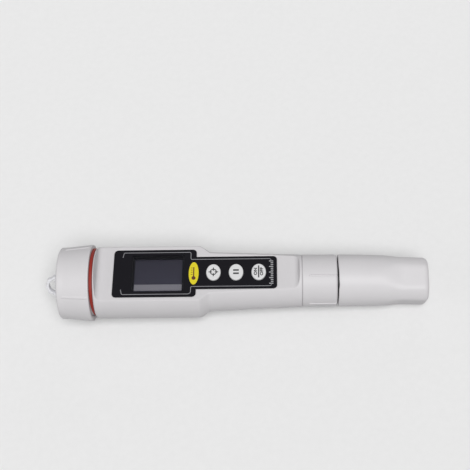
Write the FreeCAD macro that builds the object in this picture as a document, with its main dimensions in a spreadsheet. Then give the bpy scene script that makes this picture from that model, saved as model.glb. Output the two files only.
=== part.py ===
import FreeCAD, Part
import math
import os
import Sketcher

# Pen-type salinity meter, lying on its battery cap's rim. The pen's axis runs along X, the
# probe's protective cap is at +X, and the display looks up along +Z. Sizes are in millimetres.

SIZES = {
    # battery cap and the loop on its end
    "bcap_length": 16.1,
    "seal_width": 1.7,
    "bcap_flare": 1.25,
    "bcap_overhang": 1.35,
    "bcap_straight": 3.5,
    "bcap_end_wall": 2.6,
    "bcap_edge": 1.0,
    "bcap_lip": 0.4,
    "rib_inset": 2.2,
    "rib_ramp": 0.8,
    "rib_width": 1.1,
    "rib_rise": 0.35,
    "rib_first_angle": 52.6,
    "loop_angle": -30.0,
    "loop_thickness": 3.0,
    "loop_reach": 2.35,
    "loop_hole_radius": 3.9,
    "loop_hole_side": 1.1,
    "loop_band_radius": 5.3,
    "loop_foot_half": 7.4,
    "petal_radius": 1.75,
    "petal_circle": 4.15,
    "petal_step": 40.0,
    "loop_peg_radius": 2.5,
    "seal_recess": 0.35,
    "seal_round": 0.5,
    "seal_slack": 0.04,
    # housing
    "neck_length": 10.45,
    "neck_step": 1.7,
    "head_x": -69.15,
    "head_radius": 17.8,
    "head_edge": 1.2,
    "neck_chamfer": 0.6,
    "shoulder_round": 2.0,
    "shoulder_x": -17.0,
    "grip_x": -12.3,
    "grip_step": 3.1,
    "seam_x": 33.35,
    "seam_radius": 13.0,
    "seam_chamfer": 0.3,
    "lower_neck_length": 8.25,
    "lower_neck_wall": 2.1,
    "neck_wall": 1.5,
    "grip_wall": 2.1,
    "face_height": 9.6,
    "face_wall": 1.9,
    "runout_radius": 3.0,
    "runout_flare": 0.6,
    "face_left_x": -65.0,
    "face_right_x": 29.0,
    "cavity_lead": 1.05,
    "grip_end_wall": 2.85,
    # panel, window and keys
    "panel_left_x": -59.9,
    "panel_step_x": -18.8,
    "panel_right_x": 21.0,
    "panel_inset": 4.7,
    "panel_grip_half": 8.95,
    "panel_corner": 2.0,
    "panel_thickness": 0.5,
    "panel_gap": 0.1,
    "window_left_x": -50.7,
    "window_right_x": -24.9,
    "window_inset": 0.6,
    "window_ledge": 1.0,
    "window_thickness": 0.9,
    "key_first_x": -10.25,
    "key_pitch": 11.15,
    "key_long": 8.8,
    "key_short": 7.1,
    "key_gap": 0.15,
    "key_flange": 0.8,
    "key_flange_thickness": 0.8,
    "key_rise": 0.8,
    "key_edge": 0.45,
    "key_travel": 0.4,
    "key_stem_radius": 1.5,
    "key_stem_rest": 0.7,
    "key_slack": 0.05,
    # electronics
    "board_top": 2.9,
    "board_thickness": 1.6,
    "board_left_x": -55.8,
    "board_right_x": 26.0,
    "board_inset": 5.0,
    "board_grip_half": 8.4,
    "glass_thickness": 1.9,
    "glass_left_x": -53.0,
    "glass_right_x": -22.6,
    "glass_inset": 7.2,
    "bezel_thickness": 0.9,
    "bezel_gap": 0.1,
    "zebra_width": 2.0,
    "zebra_inset": 1.0,
    "switch_side": 6.0,
    "switch_height": 2.3,
    "switch_well_radius": 1.65,
    "switch_floor": 0.5,
    "screw_radius": 0.75,
    "screw_head_radius": 1.5,
    "screw_head_height": 1.0,
    "screw_slot_half": 0.2,
    "screw_hole_gap": 0.1,
    "screw_end_inset": 2.56,
    "screw_side_inset": 1.92,
    "screw_slot_reach": 1.05,
    "driver_x": -45.0,
    "driver_length": 12.0,
    "driver_half": 4.5,
    "driver_height": 1.4,
    "amplifier_x": -28.0,
    "amplifier_length": 5.0,
    "amplifier_near": 0.8,
    "amplifier_far": 4.4,
    "amplifier_height": 1.1,
    "regulator_x": -8.0,
    "regulator_length": 9.0,
    "regulator_half": 3.0,
    "regulator_height": 1.5,
    "capacitor_radius": 2.0,
    "capacitor_length": 4.6,
    "capacitor_first_x": 5.2,
    "capacitor_pitch": 5.2,
    "capacitor_y": 2.4,
    "chassis_thickness": 1.2,
    "bulkhead_thickness": 1.6,
    "bulkhead_drop": 0.3,
    "bulkhead_first": 2.56,
    "bulkhead_last": 4.8,
    "rail_gap": 0.1,
    "rail_overlap": 0.2,
    # battery holder
    "cell_radius": 5.8,
    "cell_length": 5.4,
    "holder_front": 1.6,
    "holder_wall": 1.0,
    "holder_half": 8.2,
    "holder_height": 6.6,
    "holder_gap": 0.3,
    "holder_flange": 1.6,
    "holder_play": 0.15,
    "cell_rim": 1.0,
    "contact_thickness": 0.4,
    "contact_radius": 5.2,
    "spring_wire_radius": 0.3,
    "spring_radius": 3.0,
    "spring_pitch": 0.9,
    "spring_turns": 2.0,
    "lead_radius": 0.5,
    "lead_bend": 1.5,
    "lead_y": 4.0,
    "lead_drop": 3.4,
    "socket_length": 5.4,
    "socket_half": 4.7,
    "socket_height": 5.0,
    "socket_lap": 1.6,
    "socket_floor": 1.0,
    "contact_pin_radius": 0.35,
    "contact_pin_gap": 0.07,
    "contact_pin_pitch": 2.54,
    "contact_pin_depth": 3.4,
    "contact_pin_root": 1.5,
    # collar and probe
    "collar_length": 17.25,
    "collar_inset": 0.05,
    "collar_wall": 1.47,
    "collar_end_wall": 5.1,
    "seat_play": 0.1,
    "collar_edge": 1.3,
    "groove_depth": 0.45,
    "groove_width": 0.8,
    "groove_start": 3.85,
    "groove_count": 5.0,
    "groove_first_angle": 16.0,
    "gasket_thickness": 1.0,
    "gasket_inset": 0.1,
    "flange_play": 0.48,
    "plug_lead": 0.15,
    "seat_step": 0.58,
    "seat_length": 7.9,
    "seal_back": 3.5,
    "seal_wire_radius": 0.9,
    "seal_stand": 0.15,
    "shaft_step": 1.72,
    "seat_cone": 2.5,
    "shaft_length": 23.2,
    "well_depth": 8.2,
    "well_wall": 1.6,
    "well_slot_width": 3.0,
    "well_slot_depth": 5.0,
    "tip_chamfer": 0.8,
    "pin_root": 3.0,
    "pin_round": 0.4,
    "sensor_round": 0.7,
    "pin_inset": 2.0,
    "pin_radius": 1.2,
    "pin_recess": 1.8,
    "sensor_radius": 1.0,
    "sensor_recess": 3.2,
    # protective cap
    "pcap_gap": 0.6,
    "pcap_length": 44.0,
    "pcap_mid": 23.8,
    "pcap_taper": 0.45,
    "pcap_end_taper": 0.35,
    "pcap_flat_depth": 1.2,
    "pcap_flat_length": 11.2,
    "pcap_scoop": 8.5,
    "pcap_edge": 2.6,
    "pcap_lip": 0.6,
    "pcap_lead_in": 0.4,
    "pcap_step": 0.5,
    "pcap_inner_round": 1.0,
    "pcap_scoop_rise": 0.2,
    "pcap_turn": 20.0,
    "pcap_bore_play": 0.05,
    "pcap_bore_length": 8.8,
    "pcap_flat_wall": 1.8,
    "pcap_cone_end": 22.8,
    "pcap_end_wall": 2.0,
    # fits
    "slide_gap": 0.08,
    "free_gap": 0.3,
    "past": 1.0,
    "edge_slack": 0.01,
}

doc = FreeCAD.newDocument("SalinityMeter")
sheet = doc.addObject("Spreadsheet::Sheet", "Sizes")
for row, (alias, number) in enumerate(SIZES.items(), start=1):
    sheet.set("A%d" % row, alias)
    sheet.set("B%d" % row, str(number))
    sheet.setAlias("B%d" % row, alias)
doc.recompute()


class Size:
    """A number kept together with the sheet expression that it comes from."""

    def __init__(self, value, text):
        self.value = float(value)
        self.text = text

    def _with(self, other, sign, value):
        return Size(value, "(%s %s %s)" % (self.text, sign, as_size(other).text))

    def __add__(self, other):
        return self._with(other, "+", self.value + as_size(other).value)

    def __sub__(self, other):
        return self._with(other, "-", self.value - as_size(other).value)

    def __mul__(self, other):
        return self._with(other, "*", self.value * as_size(other).value)

    def __truediv__(self, other):
        return self._with(other, "/", self.value / as_size(other).value)

    def __neg__(self):
        return Size(-self.value, "(-1 * %s)" % self.text)


def as_size(number):
    return number if isinstance(number, Size) else Size(number, repr(float(number)))


class Named:
    """Gives every sheet cell as a Size under its own name."""

    def __getattr__(self, alias):
        return Size(SIZES[alias], "Sizes.%s" % alias)


z = Named()
ZERO = as_size(0)
PARTS = []

# Radii that follow from one another, from the outside inwards and from the mate outwards.
z.neck_radius = z.head_radius - z.neck_step
z.grip_radius = z.head_radius - z.grip_step
z.cavity_radius = z.neck_radius - z.neck_wall
z.panel_head_half = z.head_radius - z.panel_inset
z.board_head_half = z.head_radius - z.board_inset
z.glass_half = z.head_radius - z.glass_inset
z.window_half = z.glass_half - z.window_inset
z.bcap_bore_radius = z.neck_radius + z.free_gap
z.bcap_mouth_radius = z.head_radius + z.bcap_overhang
z.bcap_end_radius = z.bcap_mouth_radius - z.bcap_flare
z.collar_radius = z.seam_radius - z.collar_inset
z.collar_bore_radius = z.collar_radius - z.collar_wall
z.lower_neck_radius = z.collar_bore_radius - z.slide_gap
z.lower_bore_radius = z.lower_neck_radius - z.lower_neck_wall
z.plug_radius = z.lower_bore_radius - z.slide_gap
z.flange_radius = z.collar_bore_radius - z.flange_play
z.seat_radius = z.plug_radius + z.seat_step
z.collar_end_bore = z.seat_radius + z.seat_play
z.seal_circle = z.seat_radius + z.seal_stand
z.shaft_radius = z.plug_radius - z.shaft_step
z.well_radius = z.shaft_radius - z.well_wall
z.pin_offset = z.well_radius - z.pin_inset
z.pcap_bore_radius = z.seal_circle + z.seal_wire_radius + z.pcap_bore_play
z.pcap_mouth_radius = z.collar_radius - z.collar_inset
z.pcap_mid_radius = z.pcap_mouth_radius - z.pcap_taper
z.pcap_end_radius = z.pcap_mid_radius - z.pcap_end_taper
z.pcap_half_flat = z.pcap_end_radius - z.pcap_flat_depth
z.pcap_inner_radius = z.pcap_half_flat - z.pcap_flat_wall

# Stations along the pen, from the head to the loop and from the seam to the protective cap.
z.neck_end_x = z.head_x - z.neck_length
z.cavity_left_x = z.head_x - z.cavity_lead
z.bcap_mouth_x = z.head_x - z.seal_width
z.bcap_end_x = z.bcap_mouth_x - z.bcap_length
z.loop_centre_x = z.bcap_end_x - z.loop_reach
z.loop_hole_side_x = z.loop_centre_x - z.loop_hole_side
z.bcap_inner_x = z.bcap_end_x + z.bcap_end_wall
z.holder_end_x = z.bcap_inner_x + z.free_gap
z.cells_x = z.holder_end_x + z.holder_front
z.cavity_right_x = z.seam_x - z.grip_end_wall
z.lower_neck_end_x = z.seam_x + z.lower_neck_length
z.plug_start_x = z.seam_x - z.plug_lead
z.groove_start_x = z.seam_x + z.groove_start
z.collar_end_x = z.seam_x + z.collar_length
z.collar_inner_x = z.collar_end_x - z.collar_end_wall
z.flange_end_x = z.collar_inner_x - z.seat_play
z.seat_end_x = z.collar_end_x + z.seat_length
z.seal_x = z.seat_end_x - z.seal_back
z.shaft_x = z.seat_end_x + z.seat_cone
z.tip_x = z.shaft_x + z.shaft_length
z.well_floor_x = z.tip_x - z.well_depth
z.pin_tip_x = z.tip_x - z.pin_recess
z.sensor_tip_x = z.tip_x - z.sensor_recess
z.pcap_mouth_x = z.collar_end_x + z.pcap_gap
z.pcap_mid_x = z.pcap_mouth_x + z.pcap_mid
z.pcap_end_x = z.pcap_mouth_x + z.pcap_length
z.pcap_flat_x = z.pcap_end_x - z.pcap_flat_length
z.pcap_scoop_x = z.pcap_flat_x - z.pcap_scoop
z.pcap_bore_end_x = z.pcap_mouth_x + z.pcap_bore_length
z.pcap_inner_cone_x = z.pcap_mouth_x + z.pcap_cone_end


def place(obj, turn=ZERO):
    """Puts an object on the pen's axis, turned about it."""
    rotation = FreeCAD.Rotation(FreeCAD.Vector(1, 0, 0), turn.value)
    obj.Placement = FreeCAD.Placement(FreeCAD.Vector(0, 0, z.bcap_mouth_radius.value), rotation)
    obj.setExpression("Placement.Base.z", z.bcap_mouth_radius.text)
    if turn is not ZERO:
        obj.setExpression("Placement.Rotation.Angle", turn.text)


def new_body(label, turn=ZERO):
    body = doc.addObject("PartDesign::Body", label)
    body.Label = label
    place(body, turn)
    PARTS.append(body)
    return body


def new_sketch(body, plane, offset=ZERO):
    """Opens a sketch on one of the body's origin planes, moved along the plane's normal."""
    sketch = body.newObject("Sketcher::SketchObject", body.Name + "_sketch")
    origin_plane = [p for p in body.Origin.OriginFeatures if p.Role == plane + "_Plane"][0]
    sketch.AttachmentSupport = [(origin_plane, "")]
    sketch.MapMode = "FlatFace"
    if offset is not ZERO:
        sketch.AttachmentOffset.Base.z = offset.value
        sketch.setExpression("AttachmentOffset.Base.z", offset.text)
    return sketch


def bind(sketch, kind, *args):
    """Adds a constraint whose last argument is a Size, bound to its expression."""
    size = args[-1]
    index = sketch.addConstraint(Sketcher.Constraint(kind, *args[:-1], size.value))
    sketch.setExpression("Constraints[%d]" % index, size.text)


def pin_point(sketch, geo, end, point):
    x, y = as_size(point[0]), as_size(point[1])
    bind(sketch, "DistanceX", -1, 1, geo, end, x)
    bind(sketch, "DistanceY", -1, 1, geo, end, y)


def outline(sketch, points):
    """Draws a closed outline. A point is (x, y), or (x, y, radius) where an arc of that radius,
    with its centre on the left of the way taken, leads on to the next point. A negative
    radius puts the centre on the right."""
    start = len(sketch.Geometry)
    count = len(points)
    flat = [(as_size(p[0]).value, as_size(p[1]).value) for p in points]
    for i, point in enumerate(points):
        a = FreeCAD.Vector(*flat[i], 0)
        b = FreeCAD.Vector(*flat[(i + 1) % count], 0)
        if len(point) == 2:
            sketch.addGeometry(Part.LineSegment(a, b), False)
            continue
        radius = as_size(point[2]).value
        half = (b - a) * 0.5
        reach = math.sqrt(max(radius * radius - half.Length ** 2, 0.0))
        side = FreeCAD.Vector(-half.y, half.x, 0).normalize() * (reach if radius > 0 else -reach)
        centre = a + half + side
        away = (a + half - centre)
        away = away.normalize() if reach > 1e-6 else FreeCAD.Vector(half.y, -half.x, 0).normalize()
        middle = centre + away * abs(radius)
        sketch.addGeometry(Part.Arc(a, middle, b), False)
    ends = []
    for i, point in enumerate(points):
        ccw = len(point) == 3 and as_size(point[2]).value > 0
        ends.append((1, 2) if len(point) == 2 or ccw else (2, 1))
    for i in range(count):
        j = (i + 1) % count
        join = Sketcher.Constraint("Coincident", start + i, ends[i][1], start + j, ends[j][0])
        sketch.addConstraint(join)
    for i, point in enumerate(points):
        pin_point(sketch, start + i, ends[i][0], point)
        if len(point) == 3:
            radius = as_size(point[2])
            bind(sketch, "Radius", start + i, radius if radius.value > 0 else -radius)


def circle(sketch, centre, radius):
    x, y = as_size(centre[0]), as_size(centre[1])
    round_edge = Part.Circle(FreeCAD.Vector(x.value, y.value, 0), FreeCAD.Vector(0, 0, 1), radius.value)
    geo = sketch.addGeometry(round_edge, False)
    pin_point(sketch, geo, 3, (x, y))
    bind(sketch, "Radius", geo, radius)


def oval(sketch, centre_x, long_axis, short_axis):
    """Draws an ellipse with its long axis across the pen."""
    centre = FreeCAD.Vector(centre_x.value, 0, 0)
    top = centre + FreeCAD.Vector(0, long_axis.value / 2, 0)
    side = centre + FreeCAD.Vector(short_axis.value / 2, 0, 0)
    geo = sketch.addGeometry(Part.Ellipse(top, side, centre), False)
    sketch.exposeInternalGeometry(geo)
    sketch.addConstraint(Sketcher.Constraint("Vertical", geo + 1))
    pin_point(sketch, geo, 3, (centre_x, ZERO))
    bind(sketch, "Distance", geo + 1, long_axis)
    bind(sketch, "Distance", geo + 2, short_axis)


def dee(sketch, radius, chord):
    """Draws a circle about the axis with its top cut off flat at the chord's height."""
    half = math.sqrt(radius.value ** 2 - chord.value ** 2)
    left = FreeCAD.Vector(-half, chord.value, 0)
    right = FreeCAD.Vector(half, chord.value, 0)
    arc = sketch.addGeometry(Part.Arc(left, FreeCAD.Vector(0, -radius.value, 0), right), False)
    line = sketch.addGeometry(Part.LineSegment(right, left), False)
    sketch.addConstraint(Sketcher.Constraint("Coincident", arc, 2, line, 1))
    sketch.addConstraint(Sketcher.Constraint("Coincident", arc, 1, line, 2))
    sketch.addConstraint(Sketcher.Constraint("Coincident", arc, 3, -1, 1))
    sketch.addConstraint(Sketcher.Constraint("Horizontal", line))
    bind(sketch, "Radius", arc, radius)
    bind(sketch, "DistanceY", -1, 1, line, 1, chord)


def spin(body, points, cut=False):
    """Revolves a half profile of (x, radius) points about the pen's axis."""
    sketch = new_sketch(body, "XZ")
    outline(sketch, points)
    feature = body.newObject("PartDesign::Groove" if cut else "PartDesign::Revolution", "turned")
    feature.Profile = sketch
    feature.ReferenceAxis = (sketch, ["H_Axis"])
    feature.Angle = 360
    return feature


def extrude(body, sketch, length, cut=False, symmetric=False, reverse=False):
    feature = body.newObject("PartDesign::Pocket" if cut else "PartDesign::Pad", "run")
    feature.Profile = sketch
    feature.Type = "Length"
    feature.Length = length.value
    feature.setExpression("Length", length.text)
    feature.Midplane = symmetric
    feature.Reversed = reverse
    return feature


def along_x(body, start, end, draw, cut=False):
    """Pads or cuts what draw puts on a cross-section, from one station to the next."""
    sketch = new_sketch(body, "YZ", start)
    draw(sketch)
    return extrude(body, sketch, end - start, cut, reverse=cut)


def along_z(body, low, high, draw, cut=False):
    sketch = new_sketch(body, "XY", low)
    draw(sketch)
    return extrude(body, sketch, high - low, cut, reverse=cut)


def loft(body, sections, cut=False):
    """Joins cut-off round sections, each (station, radius, chord), by straight surfaces."""
    sketches = []
    for station, radius, chord in sections:
        sketch = new_sketch(body, "YZ", station)
        dee(sketch, radius, chord)
        sketches.append(sketch)
    kind = "PartDesign::SubtractiveLoft" if cut else "PartDesign::AdditiveLoft"
    feature = body.newObject(kind, "lofted")
    feature.Profile = sketches[0]
    feature.Sections = sketches[1:]
    feature.Ruled = True
    return feature


def around(body, feature, count, angle=as_size(360)):
    """Repeats a feature about the pen's axis."""
    body.Tip = feature
    pattern = body.newObject("PartDesign::PolarPattern", "round_pattern")
    axis = [a for a in body.Origin.OriginFeatures if a.Role == "X_Axis"][0]
    pattern.Originals = [feature]
    pattern.Axis = (axis, [""])
    pattern.Angle = angle.value
    pattern.setExpression("Angle", angle.text)
    pattern.Occurrences = int(count.value)
    pattern.setExpression("Occurrences", count.text)
    body.Tip = pattern
    return pattern


def round_edges(body, radius, test):
    """Fillets each edge of the body that passes the test."""
    doc.recompute()
    base = body.Tip
    names = ["Edge%d" % (i + 1) for i, edge in enumerate(base.Shape.Edges) if test(edge)]
    feature = body.newObject("PartDesign::Fillet", "rounding")
    feature.Base = (base, names)
    feature.Radius = radius.value
    feature.setExpression("Radius", radius.text)
    return feature


def ring_at(station, radius):
    """Tests for a full or part circle about the axis at a station."""
    slack = z.edge_slack.value * 2

    def test(edge):
        curve = edge.Curve
        if curve.TypeId != "Part::GeomCircle":
            return False
        centre = curve.Center
        on_axis = math.hypot(centre.y, centre.z) < slack
        return on_axis and abs(centre.x - station.value) < slack and abs(curve.Radius - radius.value) < slack
    return test


def beyond(station):
    """Tests for an edge that lies wholly at a station or past it."""
    return lambda edge: edge.BoundBox.XMin > (station - z.edge_slack).value


def box(x0, x1, y0, y1):
    """Gives a sketch filler that draws a rectangle."""
    return lambda sketch: outline(sketch, [(x0, y0), (x1, y0), (x1, y1), (x0, y1)])


def disc(radius, x=ZERO, y=ZERO):
    return lambda sketch: circle(sketch, (x, y), radius)


def group(label, members):
    """Shares one node between loose pieces that are alike."""
    compound = doc.addObject("Part::Compound", label)
    compound.Label = label
    compound.Links = members
    for member in members:
        PARTS.remove(member)
    PARTS.append(compound)
    return compound


# Heights measured from the pen's axis.
face = z.face_height
ceiling = z.face_height - z.face_wall
window_top = z.face_height - z.panel_thickness
window_low = window_top - z.window_thickness
bezel_top = ceiling - z.bezel_gap
glass_top = bezel_top - z.bezel_thickness
glass_low = glass_top - z.glass_thickness
board_low = z.board_top - z.board_thickness
key_xs = [z.key_first_x + z.key_pitch * i for i in range(3)]

# Battery cap: a flared cup with four fine ribs, screwed over the neck.
battery_cap = new_body("battery_cap", z.rib_first_angle)
spin(battery_cap, [
    (z.bcap_end_x, 0),
    (z.bcap_end_x, z.bcap_end_radius - z.bcap_edge, -z.bcap_edge),
    (z.bcap_end_x + z.bcap_edge, z.bcap_end_radius),
    (z.bcap_end_x + z.bcap_straight, z.bcap_end_radius),
    (z.bcap_mouth_x - z.bcap_lip, z.bcap_mouth_radius),
    (z.bcap_mouth_x, z.bcap_mouth_radius - z.bcap_lip),
    (z.bcap_mouth_x, z.bcap_bore_radius),
    (z.bcap_inner_x, z.bcap_bore_radius),
    (z.bcap_inner_x, 0),
])
rib_sketch = new_sketch(battery_cap, "XZ")
outline(rib_sketch, [
    (z.bcap_end_x + z.rib_inset, z.bcap_end_radius - z.rib_rise),
    (z.bcap_end_x + z.rib_inset + z.rib_ramp, z.bcap_end_radius + z.rib_rise),
    (z.bcap_mouth_x - z.rib_ramp * 2, z.bcap_mouth_radius + z.rib_rise / 2),
    (z.bcap_mouth_x - z.rib_ramp, z.bcap_mouth_radius - z.rib_rise),
])
rib = extrude(battery_cap, rib_sketch, z.rib_width, symmetric=True)
around(battery_cap, rib, as_size(4))
along_x(battery_cap, z.bcap_end_x - z.past, z.bcap_inner_x + z.past,
        disc(z.loop_peg_radius + z.slide_gap), cut=True)

# Lanyard loop: a band with petal lumps round a half-moon hole, on a peg in the cap's end.
lanyard_loop = new_body("lanyard_loop", z.loop_angle)
loop_sketch = new_sketch(lanyard_loop, "XZ")
outline(loop_sketch, [
    (z.bcap_end_x, z.loop_foot_half),
    (z.loop_centre_x, z.loop_band_radius, z.loop_band_radius),
    (z.loop_centre_x - z.loop_band_radius, 0, z.loop_band_radius),
    (z.loop_centre_x, -z.loop_band_radius),
    (z.bcap_end_x, -z.loop_foot_half),
])
extrude(lanyard_loop, loop_sketch, z.loop_thickness, symmetric=True)
for step in (-2, -1, 0, 1, 2):
    angle = math.radians(180 + step * SIZES["petal_step"])
    petal_sketch = new_sketch(lanyard_loop, "XZ")
    circle(petal_sketch, (z.loop_centre_x + z.petal_circle * math.cos(angle),
                          z.petal_circle * math.sin(angle)), z.petal_radius)
    extrude(lanyard_loop, petal_sketch, z.loop_thickness, symmetric=True)
hole_sketch = new_sketch(lanyard_loop, "XZ")
hole_half = math.sqrt(SIZES["loop_hole_radius"] ** 2 - SIZES["loop_hole_side"] ** 2)
outline(hole_sketch, [
    (z.loop_hole_side_x, hole_half, z.loop_hole_radius),
    (z.loop_hole_side_x, -hole_half),
])
extrude(lanyard_loop, hole_sketch, z.loop_thickness * 2, cut=True, symmetric=True)
along_x(lanyard_loop, z.bcap_end_x - z.bcap_lip, z.bcap_inner_x - z.slide_gap, disc(z.loop_peg_radius))

# Seal between the battery cap and the head.
cap_seal = new_body("cap_seal")
seal_bore = z.neck_radius + z.slide_gap
seal_radius = z.head_radius - z.seal_recess
seal_left, seal_right = z.bcap_mouth_x + z.seal_slack, z.head_x - z.seal_slack
spin(cap_seal, [
    (seal_left, seal_bore),
    (seal_left, seal_radius - z.seal_round, -z.seal_round),
    (seal_left + z.seal_round, seal_radius),
    (seal_right - z.seal_round, seal_radius, -z.seal_round),
    (seal_right, seal_radius - z.seal_round),
    (seal_right, seal_bore),
])

# Housing: one tube with a flat display face.
housing = new_body("housing")
spin(housing, [
    (z.neck_end_x, 0),
    (z.neck_end_x, z.neck_radius - z.neck_chamfer),
    (z.neck_end_x + z.neck_chamfer, z.neck_radius),
    (z.head_x, z.neck_radius),
    (z.head_x, z.head_radius - z.head_edge, -z.head_edge),
    (z.head_x + z.head_edge, z.head_radius),
    (z.shoulder_x, z.head_radius),
    (z.grip_x, z.grip_radius),
    (z.seam_x - z.seam_chamfer, z.seam_radius),
    (z.seam_x, z.seam_radius - z.seam_chamfer),
    (z.seam_x, z.lower_neck_radius),
    (z.lower_neck_end_x - z.neck_chamfer, z.lower_neck_radius),
    (z.lower_neck_end_x, z.lower_neck_radius - z.neck_chamfer),
    (z.lower_neck_end_x, 0),
])
round_edges(housing, z.shoulder_round, ring_at(z.shoulder_x, z.head_radius))
round_edges(housing, z.shoulder_round, ring_at(z.grip_x, z.grip_radius))
face_sketch = new_sketch(housing, "XZ")
over = z.head_radius + z.past
outline(face_sketch, [
    (z.face_left_x - z.runout_radius - z.runout_flare, over),
    (z.face_left_x - z.runout_radius, face + z.runout_radius, z.runout_radius),
    (z.face_left_x, face),
    (z.face_right_x, face, z.runout_radius),
    (z.face_right_x + z.runout_radius, face + z.runout_radius),
    (z.face_right_x + z.runout_radius + z.runout_flare, over),
])
extrude(housing, face_sketch, z.head_radius * 3, cut=True, symmetric=True)
along_x(housing, z.neck_end_x - z.past, z.cavity_left_x, disc(z.cavity_radius), cut=True)
grip_cavity = z.seam_radius - z.grip_wall
loft(housing, [
    (z.cavity_left_x, z.cavity_radius, ceiling),
    (z.shoulder_x, z.cavity_radius, ceiling),
    (z.grip_x, z.grip_radius - z.grip_wall, ceiling),
    (z.cavity_right_x, grip_cavity, ceiling),
], cut=True)
along_x(housing, z.cavity_right_x - z.past / 2, z.lower_neck_end_x + z.past,
        disc(z.lower_bore_radius), cut=True)


def panel_outline(sketch, grow):
    """Draws the panel's stepped outline, grown by a margin, with rounded corners."""
    r = z.panel_corner
    left, step, right = z.panel_left_x - grow, z.panel_step_x + grow, z.panel_right_x + grow
    wide, slim = z.panel_head_half + grow, z.panel_grip_half + grow
    outline(sketch, [
        (left + r, -wide),
        (step - r, -wide, r),
        (step, -wide + r),
        (step, -slim),
        (right - r, -slim, r),
        (right, -slim + r),
        (right, slim - r, r),
        (right - r, slim),
        (step, slim),
        (step, wide - r, r),
        (step - r, wide),
        (left + r, wide, r),
        (left, wide - r),
        (left, -wide + r, r),
    ])


def window_box(grow):
    left, right, half = z.window_left_x - grow, z.window_right_x + grow, z.window_half + grow
    return box(left, right, -half, half)


above = z.head_radius + z.past
key_hole = (z.key_long + z.key_gap * 2, z.key_short + z.key_gap * 2)
along_z(housing, window_top, above, lambda s: panel_outline(s, z.panel_gap), cut=True)
along_z(housing, window_low, above, window_box(z.window_ledge + z.panel_gap), cut=True)
along_z(housing, ceiling - z.past, above, window_box(ZERO), cut=True)
for key_x in key_xs:
    along_z(housing, ceiling - z.past, above, lambda s: oval(s, key_x, *key_hole), cut=True)

# Panel film and the clear window under it.
panel_overlay = new_body("panel_overlay")
along_z(panel_overlay, window_top, face, lambda s: panel_outline(s, ZERO))
along_z(panel_overlay, window_top - z.past, face + z.past, window_box(ZERO), cut=True)
for key_x in key_xs:
    along_z(panel_overlay, window_top - z.past, face + z.past, lambda s: oval(s, key_x, *key_hole), cut=True)
display_window = new_body("display_window")
along_z(display_window, window_low, window_top, window_box(z.window_ledge))

# Keys: an oval cap, a flange under the housing wall and a stem into its switch.
switch_top = z.board_top + z.switch_height
for name, key_x in zip(("key_cal", "key_hold", "key_power"), key_xs):
    key = new_body(name)
    flange_top = ceiling - z.key_slack
    flange_low = flange_top - z.key_flange_thickness
    along_z(key, flange_low, flange_top,
            lambda s: oval(s, key_x, z.key_long + z.key_flange * 2, z.key_short + z.key_flange * 2))
    along_z(key, flange_low, face + z.key_rise, lambda s: oval(s, key_x, z.key_long, z.key_short))
    along_z(key, z.board_top + z.key_travel + z.key_stem_rest, flange_top, disc(z.key_stem_radius, key_x))
    top = (face + z.key_rise - z.edge_slack).value
    round_edges(key, z.key_edge, lambda e: e.BoundBox.ZMin > top)

# Display: black frame, glass, and the two contact strips down to the board.
lcd_bezel = new_body("lcd_bezel")
along_z(lcd_bezel, glass_top, bezel_top, box(z.glass_left_x, z.glass_right_x, -z.glass_half, z.glass_half))
along_z(lcd_bezel, glass_top - z.past, bezel_top + z.past, window_box(-z.window_ledge), cut=True)
lcd_glass = new_body("lcd_glass")
along_z(lcd_glass, glass_low, glass_top, box(z.glass_left_x, z.glass_right_x, -z.glass_half, z.glass_half))
strips = []
for side, sign in (("a", 1.0), ("b", -1.0)):
    strip = new_body("zebra_" + side)
    inner = (z.glass_half - z.zebra_width) * sign
    outer = z.glass_half * sign
    along_z(strip, z.board_top, glass_low, box(
        z.glass_left_x + z.zebra_inset, z.glass_right_x - z.zebra_inset, inner, outer))
    strips.append(strip)
group("zebra_strips", strips)

# Circuit board with its switches, chips, capacitors and socket.
circuit_board = new_body("circuit_board")
board_step = z.shoulder_x - z.shoulder_round
along_z(circuit_board, board_low, z.board_top, lambda s: outline(s, [
    (z.board_left_x, -z.board_head_half),
    (board_step, -z.board_head_half),
    (board_step, -z.board_grip_half),
    (z.board_right_x, -z.board_grip_half),
    (z.board_right_x, z.board_grip_half),
    (board_step, z.board_grip_half),
    (board_step, z.board_head_half),
    (z.board_left_x, z.board_head_half),
]))
screws = []
screw_inset = z.screw_head_radius + z.screw_hole_gap
SCREW_SPOTS = [(x, y * side) for side in (1.0, -1.0) for x, y in (
    (z.board_left_x + screw_inset, z.board_head_half - screw_inset),
    (z.board_right_x - z.screw_end_inset, z.board_grip_half - z.screw_side_inset),
)]
for x, y in SCREW_SPOTS:
    along_z(circuit_board, board_low - z.past, z.board_top + z.past,
            disc(z.screw_radius + z.screw_hole_gap, x, y), cut=True)
switches = []
for i, key_x in enumerate(key_xs):
    switch = new_body("switch_%d" % i)
    half = z.switch_side / 2
    along_z(switch, z.board_top, switch_top, box(key_x - half, key_x + half, -half, half))
    along_z(switch, z.board_top + z.switch_floor, switch_top + z.past,
            disc(z.switch_well_radius, key_x), cut=True)
    switches.append(switch)
group("tact_switches", switches)
chips = []
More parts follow.
